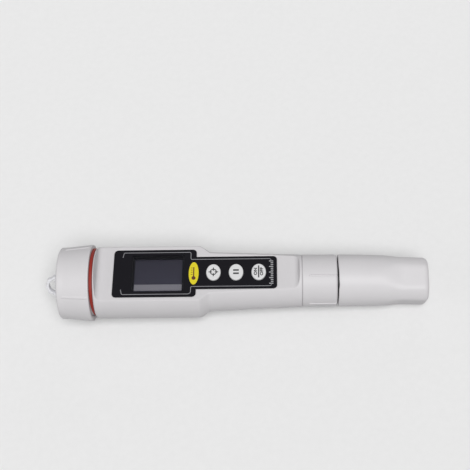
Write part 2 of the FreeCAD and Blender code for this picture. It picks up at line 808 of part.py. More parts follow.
# Each chip's reach along and across the pen, and how far it stands below the board.
CHIP_BOXES = (
    (z.driver_x, z.driver_length, -z.driver_half, z.driver_half, z.driver_height),
    (z.amplifier_x, z.amplifier_length, z.amplifier_near, z.amplifier_far, z.amplifier_height),
    (z.amplifier_x, z.amplifier_length, -z.amplifier_far, -z.amplifier_near, z.amplifier_height),
    (z.regulator_x, z.regulator_length, -z.regulator_half, z.regulator_half, z.regulator_height),
)
for i, (x0, length, y0, y1, height) in enumerate(CHIP_BOXES):
    chip = new_body("chip_%d" % i)
    along_z(chip, board_low - height, board_low, box(x0, x0 + length, y0, y1))
    chips.append(chip)
group("board_chips", chips)
capacitors = []
for i in range(3):
    capacitor = new_body("capacitor_%d" % i)
    along_z(capacitor, board_low - z.capacitor_length, board_low, disc(
        z.capacitor_radius, z.capacitor_first_x + z.capacitor_pitch * i, z.capacitor_y))
    capacitors.append(capacitor)
group("board_capacitors", capacitors)

# Chassis: side rails and bulkheads that carry the board in the tube.
chassis = new_body("chassis")
rail_low = board_low - z.chassis_thickness * 2
for side in (1.0, -1.0):
    rail_inner, rail_outer = z.socket_half + z.rail_gap, z.board_grip_half - z.rail_overlap
    along_z(chassis, rail_low, board_low, box(
        z.board_left_x, z.board_right_x - z.rail_overlap, rail_inner * side, z.board_grip_half * side))
    along_z(chassis, rail_low, board_low, box(
        z.board_left_x, board_step, rail_outer * side, z.board_head_half * side))


def bulkhead(station, radius):
    """Adds a cross wall below the board that reaches down to the tube's wall."""
    def draw(sketch):
        dee(sketch, radius, board_low - z.bulkhead_drop)
    along_x(chassis, station, station + z.bulkhead_thickness, draw)


bulkhead(z.glass_left_x + z.bulkhead_first, z.cavity_radius - z.free_gap)
bulkhead(board_step - z.bulkhead_thickness, z.cavity_radius - z.free_gap)
bulkhead(z.board_right_x - z.bulkhead_last, grip_cavity - z.slide_gap)
for x, y in SCREW_SPOTS:
    along_z(chassis, rail_low - z.past, board_low + z.past, disc(z.screw_radius, x, y), cut=True)

# Screws that hold the board down.
for i, (x, y) in enumerate(SCREW_SPOTS):
    screw = new_body("screw_%d" % i)
    head_top = z.board_top + z.screw_head_height
    along_z(screw, rail_low, head_top, disc(z.screw_radius, x, y))
    along_z(screw, z.board_top, head_top, disc(z.screw_head_radius, x, y))
    slot = box(x - z.screw_slot_reach, x + z.screw_slot_reach,
               y - z.screw_slot_half, y + z.screw_slot_half)
    along_z(screw, head_top - z.screw_head_height / 2, head_top + z.past, slot, cut=True)
    screws.append(screw)
group("board_screws", screws)

# Battery holder with four cells in a row, the end contacts, the spring and the leads.
cells_end = z.cells_x + z.cell_length * 4
trough_x0 = z.cells_x - z.contact_thickness - z.slide_gap
spring_length = z.spring_pitch * z.spring_turns + z.spring_wire_radius * 2
trough_x1 = cells_end + spring_length + z.contact_thickness + z.slide_gap * 2
battery_holder = new_body("battery_holder")
along_x(battery_holder, z.holder_end_x, trough_x1 + z.holder_wall,
        lambda s: dee(s, z.cavity_radius - z.holder_gap, z.holder_height))
waist_x0, waist_x1 = z.holder_end_x + z.holder_flange, trough_x1 + z.holder_wall + z.past
for side in (1.0, -1.0):
    along_z(battery_holder, -z.cavity_radius, z.holder_height + z.past, box(
        waist_x0, waist_x1, z.holder_half * side, (z.cavity_radius + z.past) * side), cut=True)
trough_radius = z.cell_radius + z.holder_play
along_x(battery_holder, trough_x0, trough_x1, disc(trough_radius), cut=True)
along_z(battery_holder, ZERO, z.holder_height + z.past,
        box(trough_x0, trough_x1, -trough_radius, trough_radius), cut=True)
along_z(battery_holder, -z.cavity_radius - z.past, -z.holder_height, box(
    waist_x0, waist_x1, -z.holder_half - z.past, z.holder_half + z.past), cut=True)
cells = []
for i in range(4):
    cell = new_body("cell_%d" % i)
    x0, x1 = z.cells_x + z.cell_length * i, z.cells_x + z.cell_length * (i + 1)
    rim = z.cell_rim
    spin(cell, [
        (x0, 0),
        (x0, z.cell_radius - rim),
        (x0 + rim / 2, z.cell_radius - rim),
        (x0 + rim / 2, z.cell_radius - rim / 2),
        (x0 + rim, z.cell_radius),
        (x1 - rim / 4, z.cell_radius),
        (x1, z.cell_radius - rim / 4),
        (x1, 0),
    ])
    cells.append(cell)
group("button_cells", cells)
contacts = []
for name, x0 in (("front", z.cells_x - z.contact_thickness), ("back", trough_x1 - z.contact_thickness)):
    contact = new_body("contact_" + name)
    along_x(contact, x0, x0 + z.contact_thickness, disc(z.contact_radius))
    contacts.append(contact)
group("battery_contacts", contacts)
battery_spring = new_body("battery_spring")
wire_sketch = new_sketch(battery_spring, "XZ")
spring_start = cells_end + z.spring_wire_radius + z.slide_gap
circle(wire_sketch, (spring_start, z.spring_radius), z.spring_wire_radius)
coil = battery_spring.newObject("PartDesign::AdditiveHelix", "coil")
coil.Profile = wire_sketch
coil.ReferenceAxis = (wire_sketch, ["H_Axis"])
coil.Mode = 0
coil.Pitch = z.spring_pitch.value
coil.setExpression("Pitch", z.spring_pitch.text)
coil.Height = (z.spring_pitch * z.spring_turns).value
coil.setExpression("Height", (z.spring_pitch * z.spring_turns).text)
leads = []
lead_z = board_low - z.lead_drop
bend = z.lead_bend
start_x, end_x = trough_x1 + z.holder_wall, z.glass_left_x + bend
for name, side in (("plus", 1.0), ("minus", -1.0)):
    lead = new_body("lead_" + name)
    lead_y = z.lead_y * side
    spine = new_sketch(lead, "XZ", -lead_y)
    for a, b in (((start_x, lead_z), (end_x - bend, lead_z)), ((end_x, lead_z + bend), (end_x, board_low))):
        geo = spine.addGeometry(Part.LineSegment(
            FreeCAD.Vector(a[0].value, a[1].value, 0), FreeCAD.Vector(b[0].value, b[1].value, 0)), False)
        pin_point(spine, geo, 1, a)
        pin_point(spine, geo, 2, b)
    corner = (end_x - bend, lead_z + bend)
    turn = Part.ArcOfCircle(Part.Circle(FreeCAD.Vector(corner[0].value, corner[1].value, 0),
                                        FreeCAD.Vector(0, 0, 1), bend.value), -math.pi / 2, 0)
    geo = spine.addGeometry(turn, False)
    spine.addConstraint(Sketcher.Constraint("Coincident", geo, 1, 0, 2))
    spine.addConstraint(Sketcher.Constraint("Coincident", geo, 2, 1, 1))
    bind(spine, "Radius", geo, bend)
    profile = new_sketch(lead, "YZ", start_x)
    circle(profile, (lead_y, lead_z), z.lead_radius)
    pipe = lead.newObject("PartDesign::AdditivePipe", "lead_run")
    pipe.Profile = profile
    pipe.Spine = (spine, ["Edge1", "Edge3", "Edge2"])
    leads.append(lead)
group("battery_leads", leads)

# Socket at the board's end and the probe's contact pins that plug into it.
socket_x0 = z.board_right_x - z.socket_lap
socket_x1 = socket_x0 + z.socket_length
PIN_YS = [z.contact_pin_pitch * step / 2 for step in (-3, -1, 1, 3)]
pin_row = board_low - z.socket_height / 2
probe_socket = new_body("probe_socket")
along_x(probe_socket, socket_x0, socket_x1,
        box(-z.socket_half, z.socket_half, board_low - z.socket_height, board_low))
for y in PIN_YS:
    along_x(probe_socket, socket_x0 + z.socket_floor, socket_x1 + z.past,
            disc(z.contact_pin_radius + z.contact_pin_gap, y, pin_row), cut=True)
pins = []
for i, y in enumerate(PIN_YS):
    pin = new_body("probe_pin_%d" % i)
    along_x(pin, socket_x1 - z.contact_pin_depth, z.plug_start_x + z.contact_pin_root,
            disc(z.contact_pin_radius, y, pin_row))
    pins.append(pin)
group("probe_pins", pins)

# Probe: plug, captive flange, seat for the protective cap, shaft and sensing well.
probe_body = new_body("probe_body")
gasket_x1 = z.lower_neck_end_x + z.gasket_thickness
groove_half = z.seal_wire_radius + z.slide_gap
groove_floor = z.seal_circle - z.seal_wire_radius - z.seal_slack / 2
spin(probe_body, [
    (z.plug_start_x, 0),
    (z.plug_start_x, z.plug_radius - z.neck_chamfer),
    (z.plug_start_x + z.neck_chamfer, z.plug_radius),
    (gasket_x1, z.plug_radius),
    (gasket_x1, z.flange_radius),
    (z.flange_end_x, z.flange_radius),
    (z.flange_end_x, z.seat_radius),
    (z.seal_x - groove_half, z.seat_radius),
    (z.seal_x - groove_half, groove_floor),
    (z.seal_x + groove_half, groove_floor),
    (z.seal_x + groove_half, z.seat_radius),
    (z.seat_end_x, z.seat_radius),
    (z.shaft_x, z.shaft_radius),
    (z.tip_x - z.tip_chamfer, z.shaft_radius),
    (z.tip_x, z.shaft_radius - z.tip_chamfer),
    (z.tip_x, z.well_radius),
    (z.well_floor_x, z.well_radius),
    (z.well_floor_x, 0),
])
slot_half = z.well_slot_width / 2
along_z(probe_body, -z.shaft_radius - z.past, z.shaft_radius + z.past, box(
    z.tip_x - z.well_slot_depth, z.tip_x + z.past, -slot_half, slot_half), cut=True)
for y in PIN_YS:
    along_x(probe_body, z.plug_start_x - z.past, z.plug_start_x + z.contact_pin_root,
            disc(z.contact_pin_radius, y, pin_row), cut=True)
pin_foot = z.well_floor_x - z.pin_root
for side in (1.0, -1.0):
    along_x(probe_body, pin_foot, z.well_floor_x + z.past, disc(z.pin_radius, z.pin_offset * side), cut=True)
along_x(probe_body, pin_foot, z.well_floor_x + z.past, disc(z.sensor_radius, ZERO, -z.pin_offset), cut=True)
rods = []
for name, side in (("left", 1.0), ("right", -1.0)):
    rod = new_body("sensing_" + name)
    along_x(rod, pin_foot, z.pin_tip_x, disc(z.pin_radius, z.pin_offset * side))
    round_edges(rod, z.pin_round, beyond(z.pin_tip_x))
    rods.append(rod)
group("sensing_pins", rods)
temperature_sensor = new_body("temperature_sensor")
along_x(temperature_sensor, pin_foot, z.sensor_tip_x, disc(z.sensor_radius, ZERO, -z.pin_offset))
round_edges(temperature_sensor, z.sensor_round, beyond(z.sensor_tip_x))

# Gasket and sealing ring of the probe.
collar_seal = new_body("collar_seal")
spin(collar_seal, [
    (z.lower_neck_end_x, z.plug_radius + z.gasket_inset / 2),
    (z.lower_neck_end_x, z.flange_radius - z.gasket_inset),
    (gasket_x1, z.flange_radius - z.gasket_inset),
    (gasket_x1, z.plug_radius + z.gasket_inset / 2),
])
probe_seal = new_body("probe_seal")
ring_sketch = new_sketch(probe_seal, "XZ")
circle(ring_sketch, (z.seal_x, z.seal_circle), z.seal_wire_radius)
ring = probe_seal.newObject("PartDesign::Revolution", "ring")
ring.Profile = ring_sketch
ring.ReferenceAxis = (ring_sketch, ["H_Axis"])
ring.Angle = 360

# Collar: a grooved ring that screws the probe to the housing.
collar = new_body("collar", z.groove_first_angle)
spin(collar, [
    (z.seam_x + z.slide_gap, z.collar_bore_radius),
    (z.seam_x + z.slide_gap, z.collar_radius - z.seam_chamfer),
    (z.seam_x + z.slide_gap + z.seam_chamfer, z.collar_radius),
    (z.collar_end_x - z.collar_edge, z.collar_radius, -z.collar_edge),
    (z.collar_end_x, z.collar_radius - z.collar_edge),
    (z.collar_end_x, z.collar_end_bore),
    (z.collar_inner_x, z.collar_end_bore),
    (z.collar_inner_x, z.collar_bore_radius),
])
groove_sketch = new_sketch(collar, "XZ")
outline(groove_sketch, [
    (z.groove_start_x, z.collar_radius + z.past),
    (z.groove_start_x, z.collar_radius),
    (z.groove_start_x + z.groove_width, z.collar_radius - z.groove_depth),
    (z.collar_end_x + z.past, z.collar_radius - z.groove_depth),
    (z.collar_end_x + z.past, z.collar_radius + z.past),
])
groove = extrude(collar, groove_sketch, z.groove_width, cut=True, symmetric=True)
around(collar, groove, z.groove_count)

# Protective cap: round at the mouth, square with rounded corners at the end.
protective_cap = new_body("protective_cap", z.pcap_turn)
pcap_inner_x = z.pcap_end_x - z.pcap_end_wall
spin(protective_cap, [
    (z.pcap_mouth_x, z.pcap_bore_radius + z.pcap_lead_in),
    (z.pcap_mouth_x, z.pcap_mouth_radius - z.pcap_lip, -z.pcap_lip),
    (z.pcap_mouth_x + z.pcap_lip, z.pcap_mouth_radius),
    (z.pcap_mid_x, z.pcap_mid_radius),
    (z.pcap_end_x, z.pcap_end_radius),
    (z.pcap_end_x, 0),
    (pcap_inner_x, 0),
    (pcap_inner_x, z.pcap_inner_radius - z.pcap_inner_round),
    (pcap_inner_x - z.pcap_inner_round, z.pcap_inner_radius),
    (z.pcap_inner_cone_x, z.pcap_inner_radius),
    (z.pcap_bore_end_x, z.pcap_bore_radius - z.pcap_step),
    (z.pcap_bore_end_x, z.pcap_bore_radius),
    (z.pcap_mouth_x + z.pcap_lead_in, z.pcap_bore_radius),
])
flat_sketch = new_sketch(protective_cap, "XZ")
scoop_run = z.pcap_flat_x - z.pcap_scoop_x
scoop_top = z.pcap_mid_radius + z.pcap_scoop_rise
scoop_drop = scoop_top - z.pcap_half_flat
scoop_radius = scoop_run * scoop_run / (scoop_drop * 2) + scoop_drop / 2
outline(flat_sketch, [
    (z.pcap_scoop_x, scoop_top, scoop_radius),
    (z.pcap_flat_x, z.pcap_half_flat),
    (z.pcap_end_x + z.past, z.pcap_half_flat),
    (z.pcap_end_x + z.past, scoop_top + z.past),
    (z.pcap_scoop_x, scoop_top + z.past),
])
flat = extrude(protective_cap, flat_sketch, z.pcap_mouth_radius * 3, cut=True, symmetric=True)
around(protective_cap, flat, as_size(4))
round_edges(protective_cap, z.pcap_edge, beyond(z.pcap_end_x))

doc.recompute()
faulty = [obj.Label for obj in doc.Objects if "Invalid" in obj.State or "Error" in obj.State]
if faulty:
    raise RuntimeError("these did not recompute: %s" % ", ".join(faulty))
os.makedirs("parts", exist_ok=True)
for part in PARTS:
    shape = part.Shape
    if shape.isNull() or not shape.isValid():
        raise RuntimeError("%s has no valid shape" % part.Label)
    shape.exportStep("parts/%s.step" % part.Label)
    print("%-20s %10.1f mm3" % (part.Label, shape.Volume))
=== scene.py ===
"""Dresses a pen type salinity meter in its finished surfaces.

Lengths are in millimetres until a mesh is made, and angles round the pen run from the top (+Z)
towards the display's lower edge (-Y).
"""

import logging
import math
from collections.abc import Callable
from dataclasses import dataclass, field
from enum import Enum
from functools import cache

import bmesh
import bpy
import numpy as np
from mathutils import Matrix, Vector


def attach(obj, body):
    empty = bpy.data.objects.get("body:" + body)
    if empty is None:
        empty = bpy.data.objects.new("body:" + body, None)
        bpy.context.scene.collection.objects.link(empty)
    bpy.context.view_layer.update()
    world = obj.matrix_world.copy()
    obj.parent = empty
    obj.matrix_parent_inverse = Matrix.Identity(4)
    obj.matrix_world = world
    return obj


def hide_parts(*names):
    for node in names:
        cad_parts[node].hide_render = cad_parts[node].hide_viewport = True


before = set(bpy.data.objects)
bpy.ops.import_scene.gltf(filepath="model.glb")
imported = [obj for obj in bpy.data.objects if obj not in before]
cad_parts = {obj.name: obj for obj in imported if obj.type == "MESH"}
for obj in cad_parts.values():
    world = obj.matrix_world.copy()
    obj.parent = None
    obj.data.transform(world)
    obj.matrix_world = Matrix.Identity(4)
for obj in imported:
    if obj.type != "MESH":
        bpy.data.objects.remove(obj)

log = logging.getLogger("salinity_meter")
Array = np.ndarray
Socket = bpy.types.NodeSocket
Colour = tuple[float, float, float, float]
Triple = tuple[float, float, float]
Pair = tuple[float, float]

MM = 0.001
AXIS_HEIGHT = 19.15
FACE_HEIGHT = 9.6
SMOOTH_ANGLE = math.radians(32.0)
FULL_TURN = 2.0 * math.pi
QUARTER_TURN = math.pi / 2.0
THREAD_LEAD = 3.0
THREAD_WIDTH = 1.3
PLATE_RINGS = 6
FAR = 99.0
# the way in which the lanyard loop and the protective cap's end hang over
DOWNHILL = np.array([0.0, -0.87, -0.5])


def math_operator(operation: str, swapped: bool = False) -> Callable[["Wire", object], "Wire"]:
    """Makes one operator of Wire.

    Args:
        operation: the Math node's operation.
        swapped: the other number stands on the left.

    Returns:
        A method that adds the Math node and gives its result.
    """

    def method(self: "Wire", other: "Wire | float") -> "Wire":
        """Adds one Math node."""
        first, second = (other, self) if swapped else (self, other)
        node = self.paint.node("ShaderNodeMath", {"operation": operation}, {0: first, 1: second})
        return Wire(self.paint, node.outputs[0])

    return method


class Wire:
    """A number in a material that can be added, scaled and compared like a Python number."""

    def __init__(self, paint: "Paint", socket: Socket) -> None:
        """Keeps the material and the socket that carries the number."""
        self.paint = paint
        self.socket = socket

    __add__ = math_operator("ADD")
    __radd__ = math_operator("ADD", swapped=True)
    __sub__ = math_operator("SUBTRACT")
    __rsub__ = math_operator("SUBTRACT", swapped=True)
    __mul__ = math_operator("MULTIPLY")
    __rmul__ = math_operator("MULTIPLY", swapped=True)
    __gt__ = math_operator("GREATER_THAN")
    _sine = math_operator("SINE")

    def wave(self) -> "Wire":
        """Sine of the number in radians."""
        return self._sine(0.0)

    def ease(self, low: float, high: float) -> "Wire":
        """Goes smoothly from 0 at low to 1 at high.

        Args:
            low: where the result leaves 0.
            high: where the result reaches 1.

        Returns:
            The eased number.
        """
        inputs = {"Value": self, "From Min": low, "From Max": high}
        smooth = {"interpolation_type": "SMOOTHSTEP"}
        return Wire(self.paint, self.paint.node("ShaderNodeMapRange", smooth, inputs).outputs[0])


class Paint:
    """A procedural material that is being put together on one Principled shader."""

    def __init__(self, name: str) -> None:
        """Starts an empty material of that name."""
        self.material = bpy.data.materials.new(name)
        self.material.use_nodes = True
        self.tree = self.material.node_tree
        self.tree.nodes.clear()
        self.shader = self.node("ShaderNodeBsdfPrincipled", {}, {})
        self.output = self.node("ShaderNodeOutputMaterial", {}, {"Surface": self.shader.outputs[0]})

    @classmethod
    def over(cls, tree: bpy.types.NodeTree) -> "Paint":
        """Works in a tree that is already there, such as the world's.

        Args:
            tree: the node tree.

        Returns:
            A paint that adds its nodes to that tree.
        """
        made = cls.__new__(cls)
        made.tree = tree
        return made

    def node(self, kind: str, settings: dict, inputs: dict) -> bpy.types.Node:
        """Adds any node.

        Args:
            kind: the node's type name.
            settings: its own properties.
            inputs: values, wires or sockets by input name or number.

        Returns:
            The new node.
        """
        made = self.tree.nodes.new(kind)
        for name, value in settings.items():
            setattr(made, name, value)
        for name, value in inputs.items():
            self.feed(made.inputs[name], value)
        return made

    def feed(self, target: Socket, value: object) -> None:
        """Sets or links one input.

        Args:
            target: the input.
            value: a wire, a socket or a plain value.
        """
        if isinstance(value, Wire):
            value = value.socket
        if isinstance(value, Socket):
            self.tree.links.new(value, target)
        else:
            target.default_value = value

    def set(self, **inputs: object) -> None:
        """Feeds the Principled shader; underscores in a name stand for spaces."""
        for name, value in inputs.items():
            self.feed(self.shader.inputs[name.replace("_", " ")], value)

    def place(self, scale: Triple = (1.0, 1.0, 1.0)) -> Socket:
        """Object coordinates in millimetres.

        Args:
            scale: an extra stretch along each axis.

        Returns:
            The vector socket.
        """
        coords = self.node("ShaderNodeTexCoord", {}, {}).outputs["Object"]
        stretch = tuple(value / MM for value in scale)
        return self.node("ShaderNodeMapping", {}, {"Vector": coords, "Scale": stretch}).outputs[0]

    def axis(self, number: int) -> Wire:
        """One object coordinate in millimetres; number 0 is X, 1 is Y and 2 is Z."""
        parts = self.node("ShaderNodeSeparateXYZ", {}, {"Vector": self.place()})
        return Wire(self, parts.outputs[number])

    def noise(
        self, size: float, detail: float = 2.0, rough: float = 0.5, stretch: Triple = (1, 1, 1)
    ) -> Wire:
        """Smooth noise from 0 to 1.

        Args:
            size: width of its blobs in millimetres.
            detail: number of finer layers.
            rough: strength of the finer layers.
            stretch: scale along each axis.

        Returns:
            The noise.
        """
        inputs = {"Vector": self.place(stretch), "Scale": 1.0 / size}
        inputs |= {"Detail": detail, "Roughness": rough}
        return Wire(self, self.node("ShaderNodeTexNoise", {}, inputs).outputs[0])

    def cells(self, size: float) -> Wire:
        """Distance from the nearest point of a cell pattern.

        Args:
            size: width of a cell in millimetres.

        Returns:
            The distance.
        """
        inputs = {"Vector": self.place(), "Scale": 1.0 / size}
        return Wire(self, self.node("ShaderNodeTexVoronoi", {}, inputs).outputs["Distance"])

    def seen(self) -> Wire:
        """One for rays that show the backdrop: from the camera, or by a glossy or clear face."""
        path = self.node("ShaderNodeLightPath", {}, {}).outputs
        camera, glossy, through = (
            Wire(self, path[f"Is {kind} Ray"]) for kind in ("Camera", "Glossy", "Transmission")
        )
        return camera + glossy + through > 0.5

    def blend(self, share: Wire, low: Colour | Socket, high: Colour | Socket) -> Socket:
        """Mixes two colours.

        Args:
            share: 0 gives the first colour and 1 the second.
            low: first colour.
            high: second colour.

        Returns:
            The mixed colour.
        """
        made = self.node("ShaderNodeMix", {"data_type": "RGBA"}, {0: share, 6: low, 7: high})
        return made.outputs[2]

    def relief(self, height: Wire, depth: float, edge: float = 0.0) -> None:
        """Turns a height into bumps.

        Args:
            height: 0 to 1.
            depth: millimetres between 0 and 1.
            edge: radius in millimetres that edges look rounded to.
        """
        inputs = {"Height": height, "Distance": depth * MM}
        if edge > 0.0:
            soft = self.node("ShaderNodeBevel", {"samples": 8}, {"Radius": edge * MM})
            inputs["Normal"] = soft.outputs[0]
        bump = self.node("ShaderNodeBump", {}, inputs)
        self.set(Normal=bump.outputs[0])


def grey(level: float) -> Colour:
    """A neutral colour of that level."""
    return (level, level, level, 1.0)


def shade(colour: Colour, factor: float) -> Colour:
    """A colour made darker or lighter by a factor."""
    return tuple(min(1.0, part * factor) for part in colour[:3]) + (1.0,)


@dataclass(frozen=True)
class Finish:
    """A finish that becomes one material."""

    name: str
    colour: Colour

    def cover(self, paint: Paint) -> None:
        """Sets the paint up; each kind of finish does it in its own way."""
        raise NotImplementedError


@cache
def material_of(finish: Finish) -> bpy.types.Material:
    """Builds a finish's material on its first use.

    Args:
        finish: the finish.

    Returns:
        Its material, the same one each time.
    """
    paint = Paint(finish.name)
    finish.cover(paint)
    return paint.material


@dataclass(frozen=True)
class MouldedPlastic(Finish):
    """Injection moulded plastic with a spark eroded grain and faint flow mottling."""

    roughness: float = 0.42
    grain: float = 0.16
    grain_depth: float = 0.012
    mottle: float = 9.0
    mottle_share: float = 0.05
    soil: float = 0.04
    coat: float = 0.0
    edge: float = 0.0

    def cover(self, paint: Paint) -> None:
        """Its base colour drifts with slow mottling and a few soiled patches, and its
        roughness and relief follow the grain."""
        slow = paint.noise(self.mottle, 3.0, 0.6)
        fine = paint.noise(self.grain, 2.0, 0.6)
        patch = paint.noise(self.mottle * 2.2, 4.0, 0.7).ease(0.56, 0.78)
        tone = paint.blend(slow, shade(self.colour, 1.0 - self.mottle_share), self.colour)
        soiled = shade((self.colour[0], self.colour[1] * 0.97, self.colour[2] * 0.93, 1.0), 0.86)
        paint.set(
            Base_Color=paint.blend(patch * self.soil, tone, soiled),
            Roughness=self.roughness + 0.07 * fine - 0.06 * patch,
            Specular_IOR_Level=0.3,
            Coat_Weight=self.coat,
            Coat_Roughness=0.25,
        )
        paint.relief(0.75 * fine + 0.25 * slow, self.grain_depth, edge=self.edge)


@dataclass(frozen=True)
class SoftRubber(Finish):
    """Moulded silicone or rubber with a dry bloom and specks of dust."""

    roughness: float = 0.6
    dust: float = 0.12
    sheen: float = 0.15

    def cover(self, paint: Paint) -> None:
        """Dust specks and a cloudy bloom lighten the colour and raise the roughness."""
        cloud = paint.noise(2.4, 4.0, 0.65)
        specks = 1.0 - paint.cells(0.55).ease(0.05, 0.13)
        bloom = paint.blend(cloud * self.dust, self.colour, shade(self.colour, 1.6))
        dusty = tuple(0.6 * part + 0.22 for part in self.colour[:3]) + (1.0,)
        paint.set(
            Base_Color=paint.blend(specks * self.dust, bloom, dusty),
            Roughness=self.roughness + 0.1 * cloud,
            Specular_IOR_Level=0.3,
            Sheen_Weight=self.sheen,
            Sheen_Roughness=0.5,
        )
        paint.relief(0.6 * cloud + 0.4 * paint.noise(0.12), 0.015)


@dataclass(frozen=True)
class GlossFilm(Finish):
    """Printed plastic film: even ink under a hard clear face with fine rub marks."""

    roughness: float = 0.16
    coat: float = 0.05
    shine: float = 0.1
    ripple: float = 0.006

    def cover(self, paint: Paint) -> None:
        """Long thin rub marks and dust roughen the gloss, and a slow ripple bends it."""
        rubs = paint.noise(0.5, 3.0, 0.7, (0.12, 1.0, 1.0)).ease(0.62, 0.74)
        dust = 1.0 - paint.cells(1.3).ease(0.03, 0.07)
        ripple = paint.noise(5.0, 1.0)
        lifted = tuple(part + 0.05 for part in self.colour[:3]) + (1.0,)
        paint.set(
            Base_Color=paint.blend(0.5 * dust + 0.12 * rubs, self.colour, lifted),
            Roughness=self.roughness + 0.16 * rubs + 0.25 * dust,
            Specular_IOR_Level=self.shine,
            Coat_Weight=self.coat,
            Coat_Roughness=0.08,
        )
        paint.relief(ripple, self.ripple)


@dataclass(frozen=True)
class Metal(Finish):
    """Bare or plated metal, drawn or polished along the pen."""

    roughness: float = 0.25
    lines: Triple = (0.2, 6.0, 6.0)
    tarnish: float = 0.2

    def cover(self, paint: Paint) -> None:
        """Fine lines vary the roughness and soft tarnish darkens the colour in places."""
        drawn = paint.noise(0.5, 3.0, 0.6, self.lines)
        stain = paint.noise(1.8, 3.0, 0.6).ease(0.45, 0.75)
        paint.set(
            Base_Color=paint.blend(stain * self.tarnish, self.colour, shade(self.colour, 0.55)),
            Metallic=1.0,
            Roughness=self.roughness + 0.14 * drawn + 0.12 * stain,
        )
        paint.relief(drawn, 0.006)


@dataclass(frozen=True)
class PrintedInk(Finish):
    """Screen printed ink: slightly uneven cover with pin holes."""

    roughness: float = 0.38

    def cover(self, paint: Paint) -> None:
        """The ink's cover varies a little and pin holes darken it."""
        cover = paint.noise(0.35, 3.0, 0.6)
        holes = 1.0 - paint.cells(0.22).ease(0.04, 0.09)
        worn = paint.blend(0.3 * cover + 0.5 * holes, self.colour, shade(self.colour, 0.62))
        paint.set(Base_Color=worn, Roughness=self.roughness + 0.15 * cover)
        paint.relief(cover, 0.004)


@dataclass(frozen=True)
class ClearPane(Finish):
    """Clear moulded plastic that shows what lies behind it."""

    gloss: float = 0.05

    def cover(self, paint: Paint) -> None:
        """A glossy film mixed over a tinted see-through shader by the angle of view."""
        paint.set(Base_Color=grey(0.05), Roughness=self.gloss, IOR=1.55)
        clear = paint.node("ShaderNodeBsdfTransparent", {}, {"Color": self.colour})
        rim = paint.node("ShaderNodeFresnel", {}, {"IOR": 1.5}).outputs[0]
        smear = paint.noise(6.0, 3.0, 0.6).ease(0.5, 0.8)
        share = Wire(paint, rim) * 0.6 + 0.02 + 0.02 * smear
        layers = {0: share, 1: clear.outputs[0], 2: paint.shader.outputs[0]}
        mixed = paint.node("ShaderNodeMixShader", {}, layers)
        paint.feed(paint.output.inputs["Surface"], mixed.outputs[0])


@dataclass(frozen=True)
class DisplayGlass(Finish):
    """A switched-off liquid crystal glass over a grey reflector."""

    def cover(self, paint: Paint) -> None:
        """A grey with a fine reflector grain, painted lighter towards the lower edge as a painted
        reflection.
        """
        # painted reflection: the grey is lifted towards the display's lower edge (towards -Y)
        rise = 1.0 - paint.axis(1).ease(-8.0, 9.0)
        grain = paint.noise(0.09, 2.0, 0.6)
        lifted = paint.blend(0.75 * rise + 0.2 * grain, self.colour, shade(self.colour, 1.55))
        paint.set(
            Base_Color=lifted,
            Roughness=0.3 + 0.15 * grain,
            Coat_Weight=0.7,
            Coat_Roughness=0.05,
        )
        paint.relief(grain, 0.004)


@dataclass(frozen=True)
class SolderMask(Finish):
    """Green lacquered circuit board with copper tracks under the lacquer."""

    def cover(self, paint: Paint) -> None:
        """Tracks show as lighter bands that run along and across the board."""
        along = (paint.axis(1) * 2.6 + paint.noise(7.0) * 5.0).wave().ease(0.55, 0.75)
        across = (paint.axis(0) * 1.7 + paint.noise(9.0) * 4.0).wave().ease(0.7, 0.85)
        tracks = along * 0.7 + across * 0.5
        paint.set(
            Base_Color=paint.blend(tracks * 0.6, self.colour, shade(self.colour, 2.6)),
            Roughness=0.3 + 0.1 * paint.noise(0.8),
            Coat_Weight=0.4,
            Coat_Roughness=0.2,
        )
        paint.relief(tracks, 0.03)


WHITE_ABS = MouldedPlastic("white_abs", (0.66, 0.645, 0.66, 1.0))
CAP_WHITE = MouldedPlastic("white_abs_cap", (0.68, 0.665, 0.68, 1.0), 0.46, coat=0.08)
LOOP_NYLON = MouldedPlastic("loop_nylon", (0.80, 0.80, 0.83, 1.0), 0.3, 0.4, 0.008, coat=0.2)
RED_RUBBER = SoftRubber("red_rubber", (0.27, 0.024, 0.016, 1.0), 0.5, 0.05, 0.0)
BLACK_RUBBER = SoftRubber("black_rubber", grey(0.022))
KEY_RUBBER = SoftRubber("key_rubber", (0.72, 0.72, 0.73, 1.0), 0.5, 0.05)
BLACK_ABS = MouldedPlastic("black_abs", (0.014, 0.014, 0.016, 1.0), 0.34, 0.12, 0.01)
LCD_LEDGE = DisplayGlass("lcd_ledge", (0.41, 0.40, 0.375, 1.0))
SILVER_INK = PrintedInk("silver_ink", (0.30, 0.30, 0.32, 1.0), 0.35)
PALE_INK = PrintedInk("pale_ink", (0.5, 0.5, 0.52, 1.0), 0.4)
BLACK_INK = PrintedInk("black_ink", (0.012, 0.012, 0.014, 1.0))
YELLOW_INK = PrintedInk("yellow_ink", (0.78, 0.66, 0.015, 1.0), 0.32)
BROWN_INK = PrintedInk("brown_ink", (0.09, 0.02, 0.008, 1.0))


def grid_faces(rows: int, columns: int, wrap_rows: bool, wrap_columns: bool) -> Array:
    """Quads of a grid of points that are numbered row by row.

    Args:
        rows: number of rows.
        columns: number of columns.
        wrap_rows: joins the last row to the first.
        wrap_columns: joins the last column to the first.

    Returns:
        An array of four corner numbers for each quad.
    """
    i = np.arange(rows if wrap_rows else rows - 1)[:, None]
    j = np.arange(columns if wrap_columns else columns - 1)[None, :]
    i2, j2 = (i + 1) % rows, (j + 1) % columns
    corners = [i * columns + j, i * columns + j2, i2 * columns + j2, i2 * columns + j]
    return np.stack(np.broadcast_arrays(*corners), -1).reshape(-1, 4)


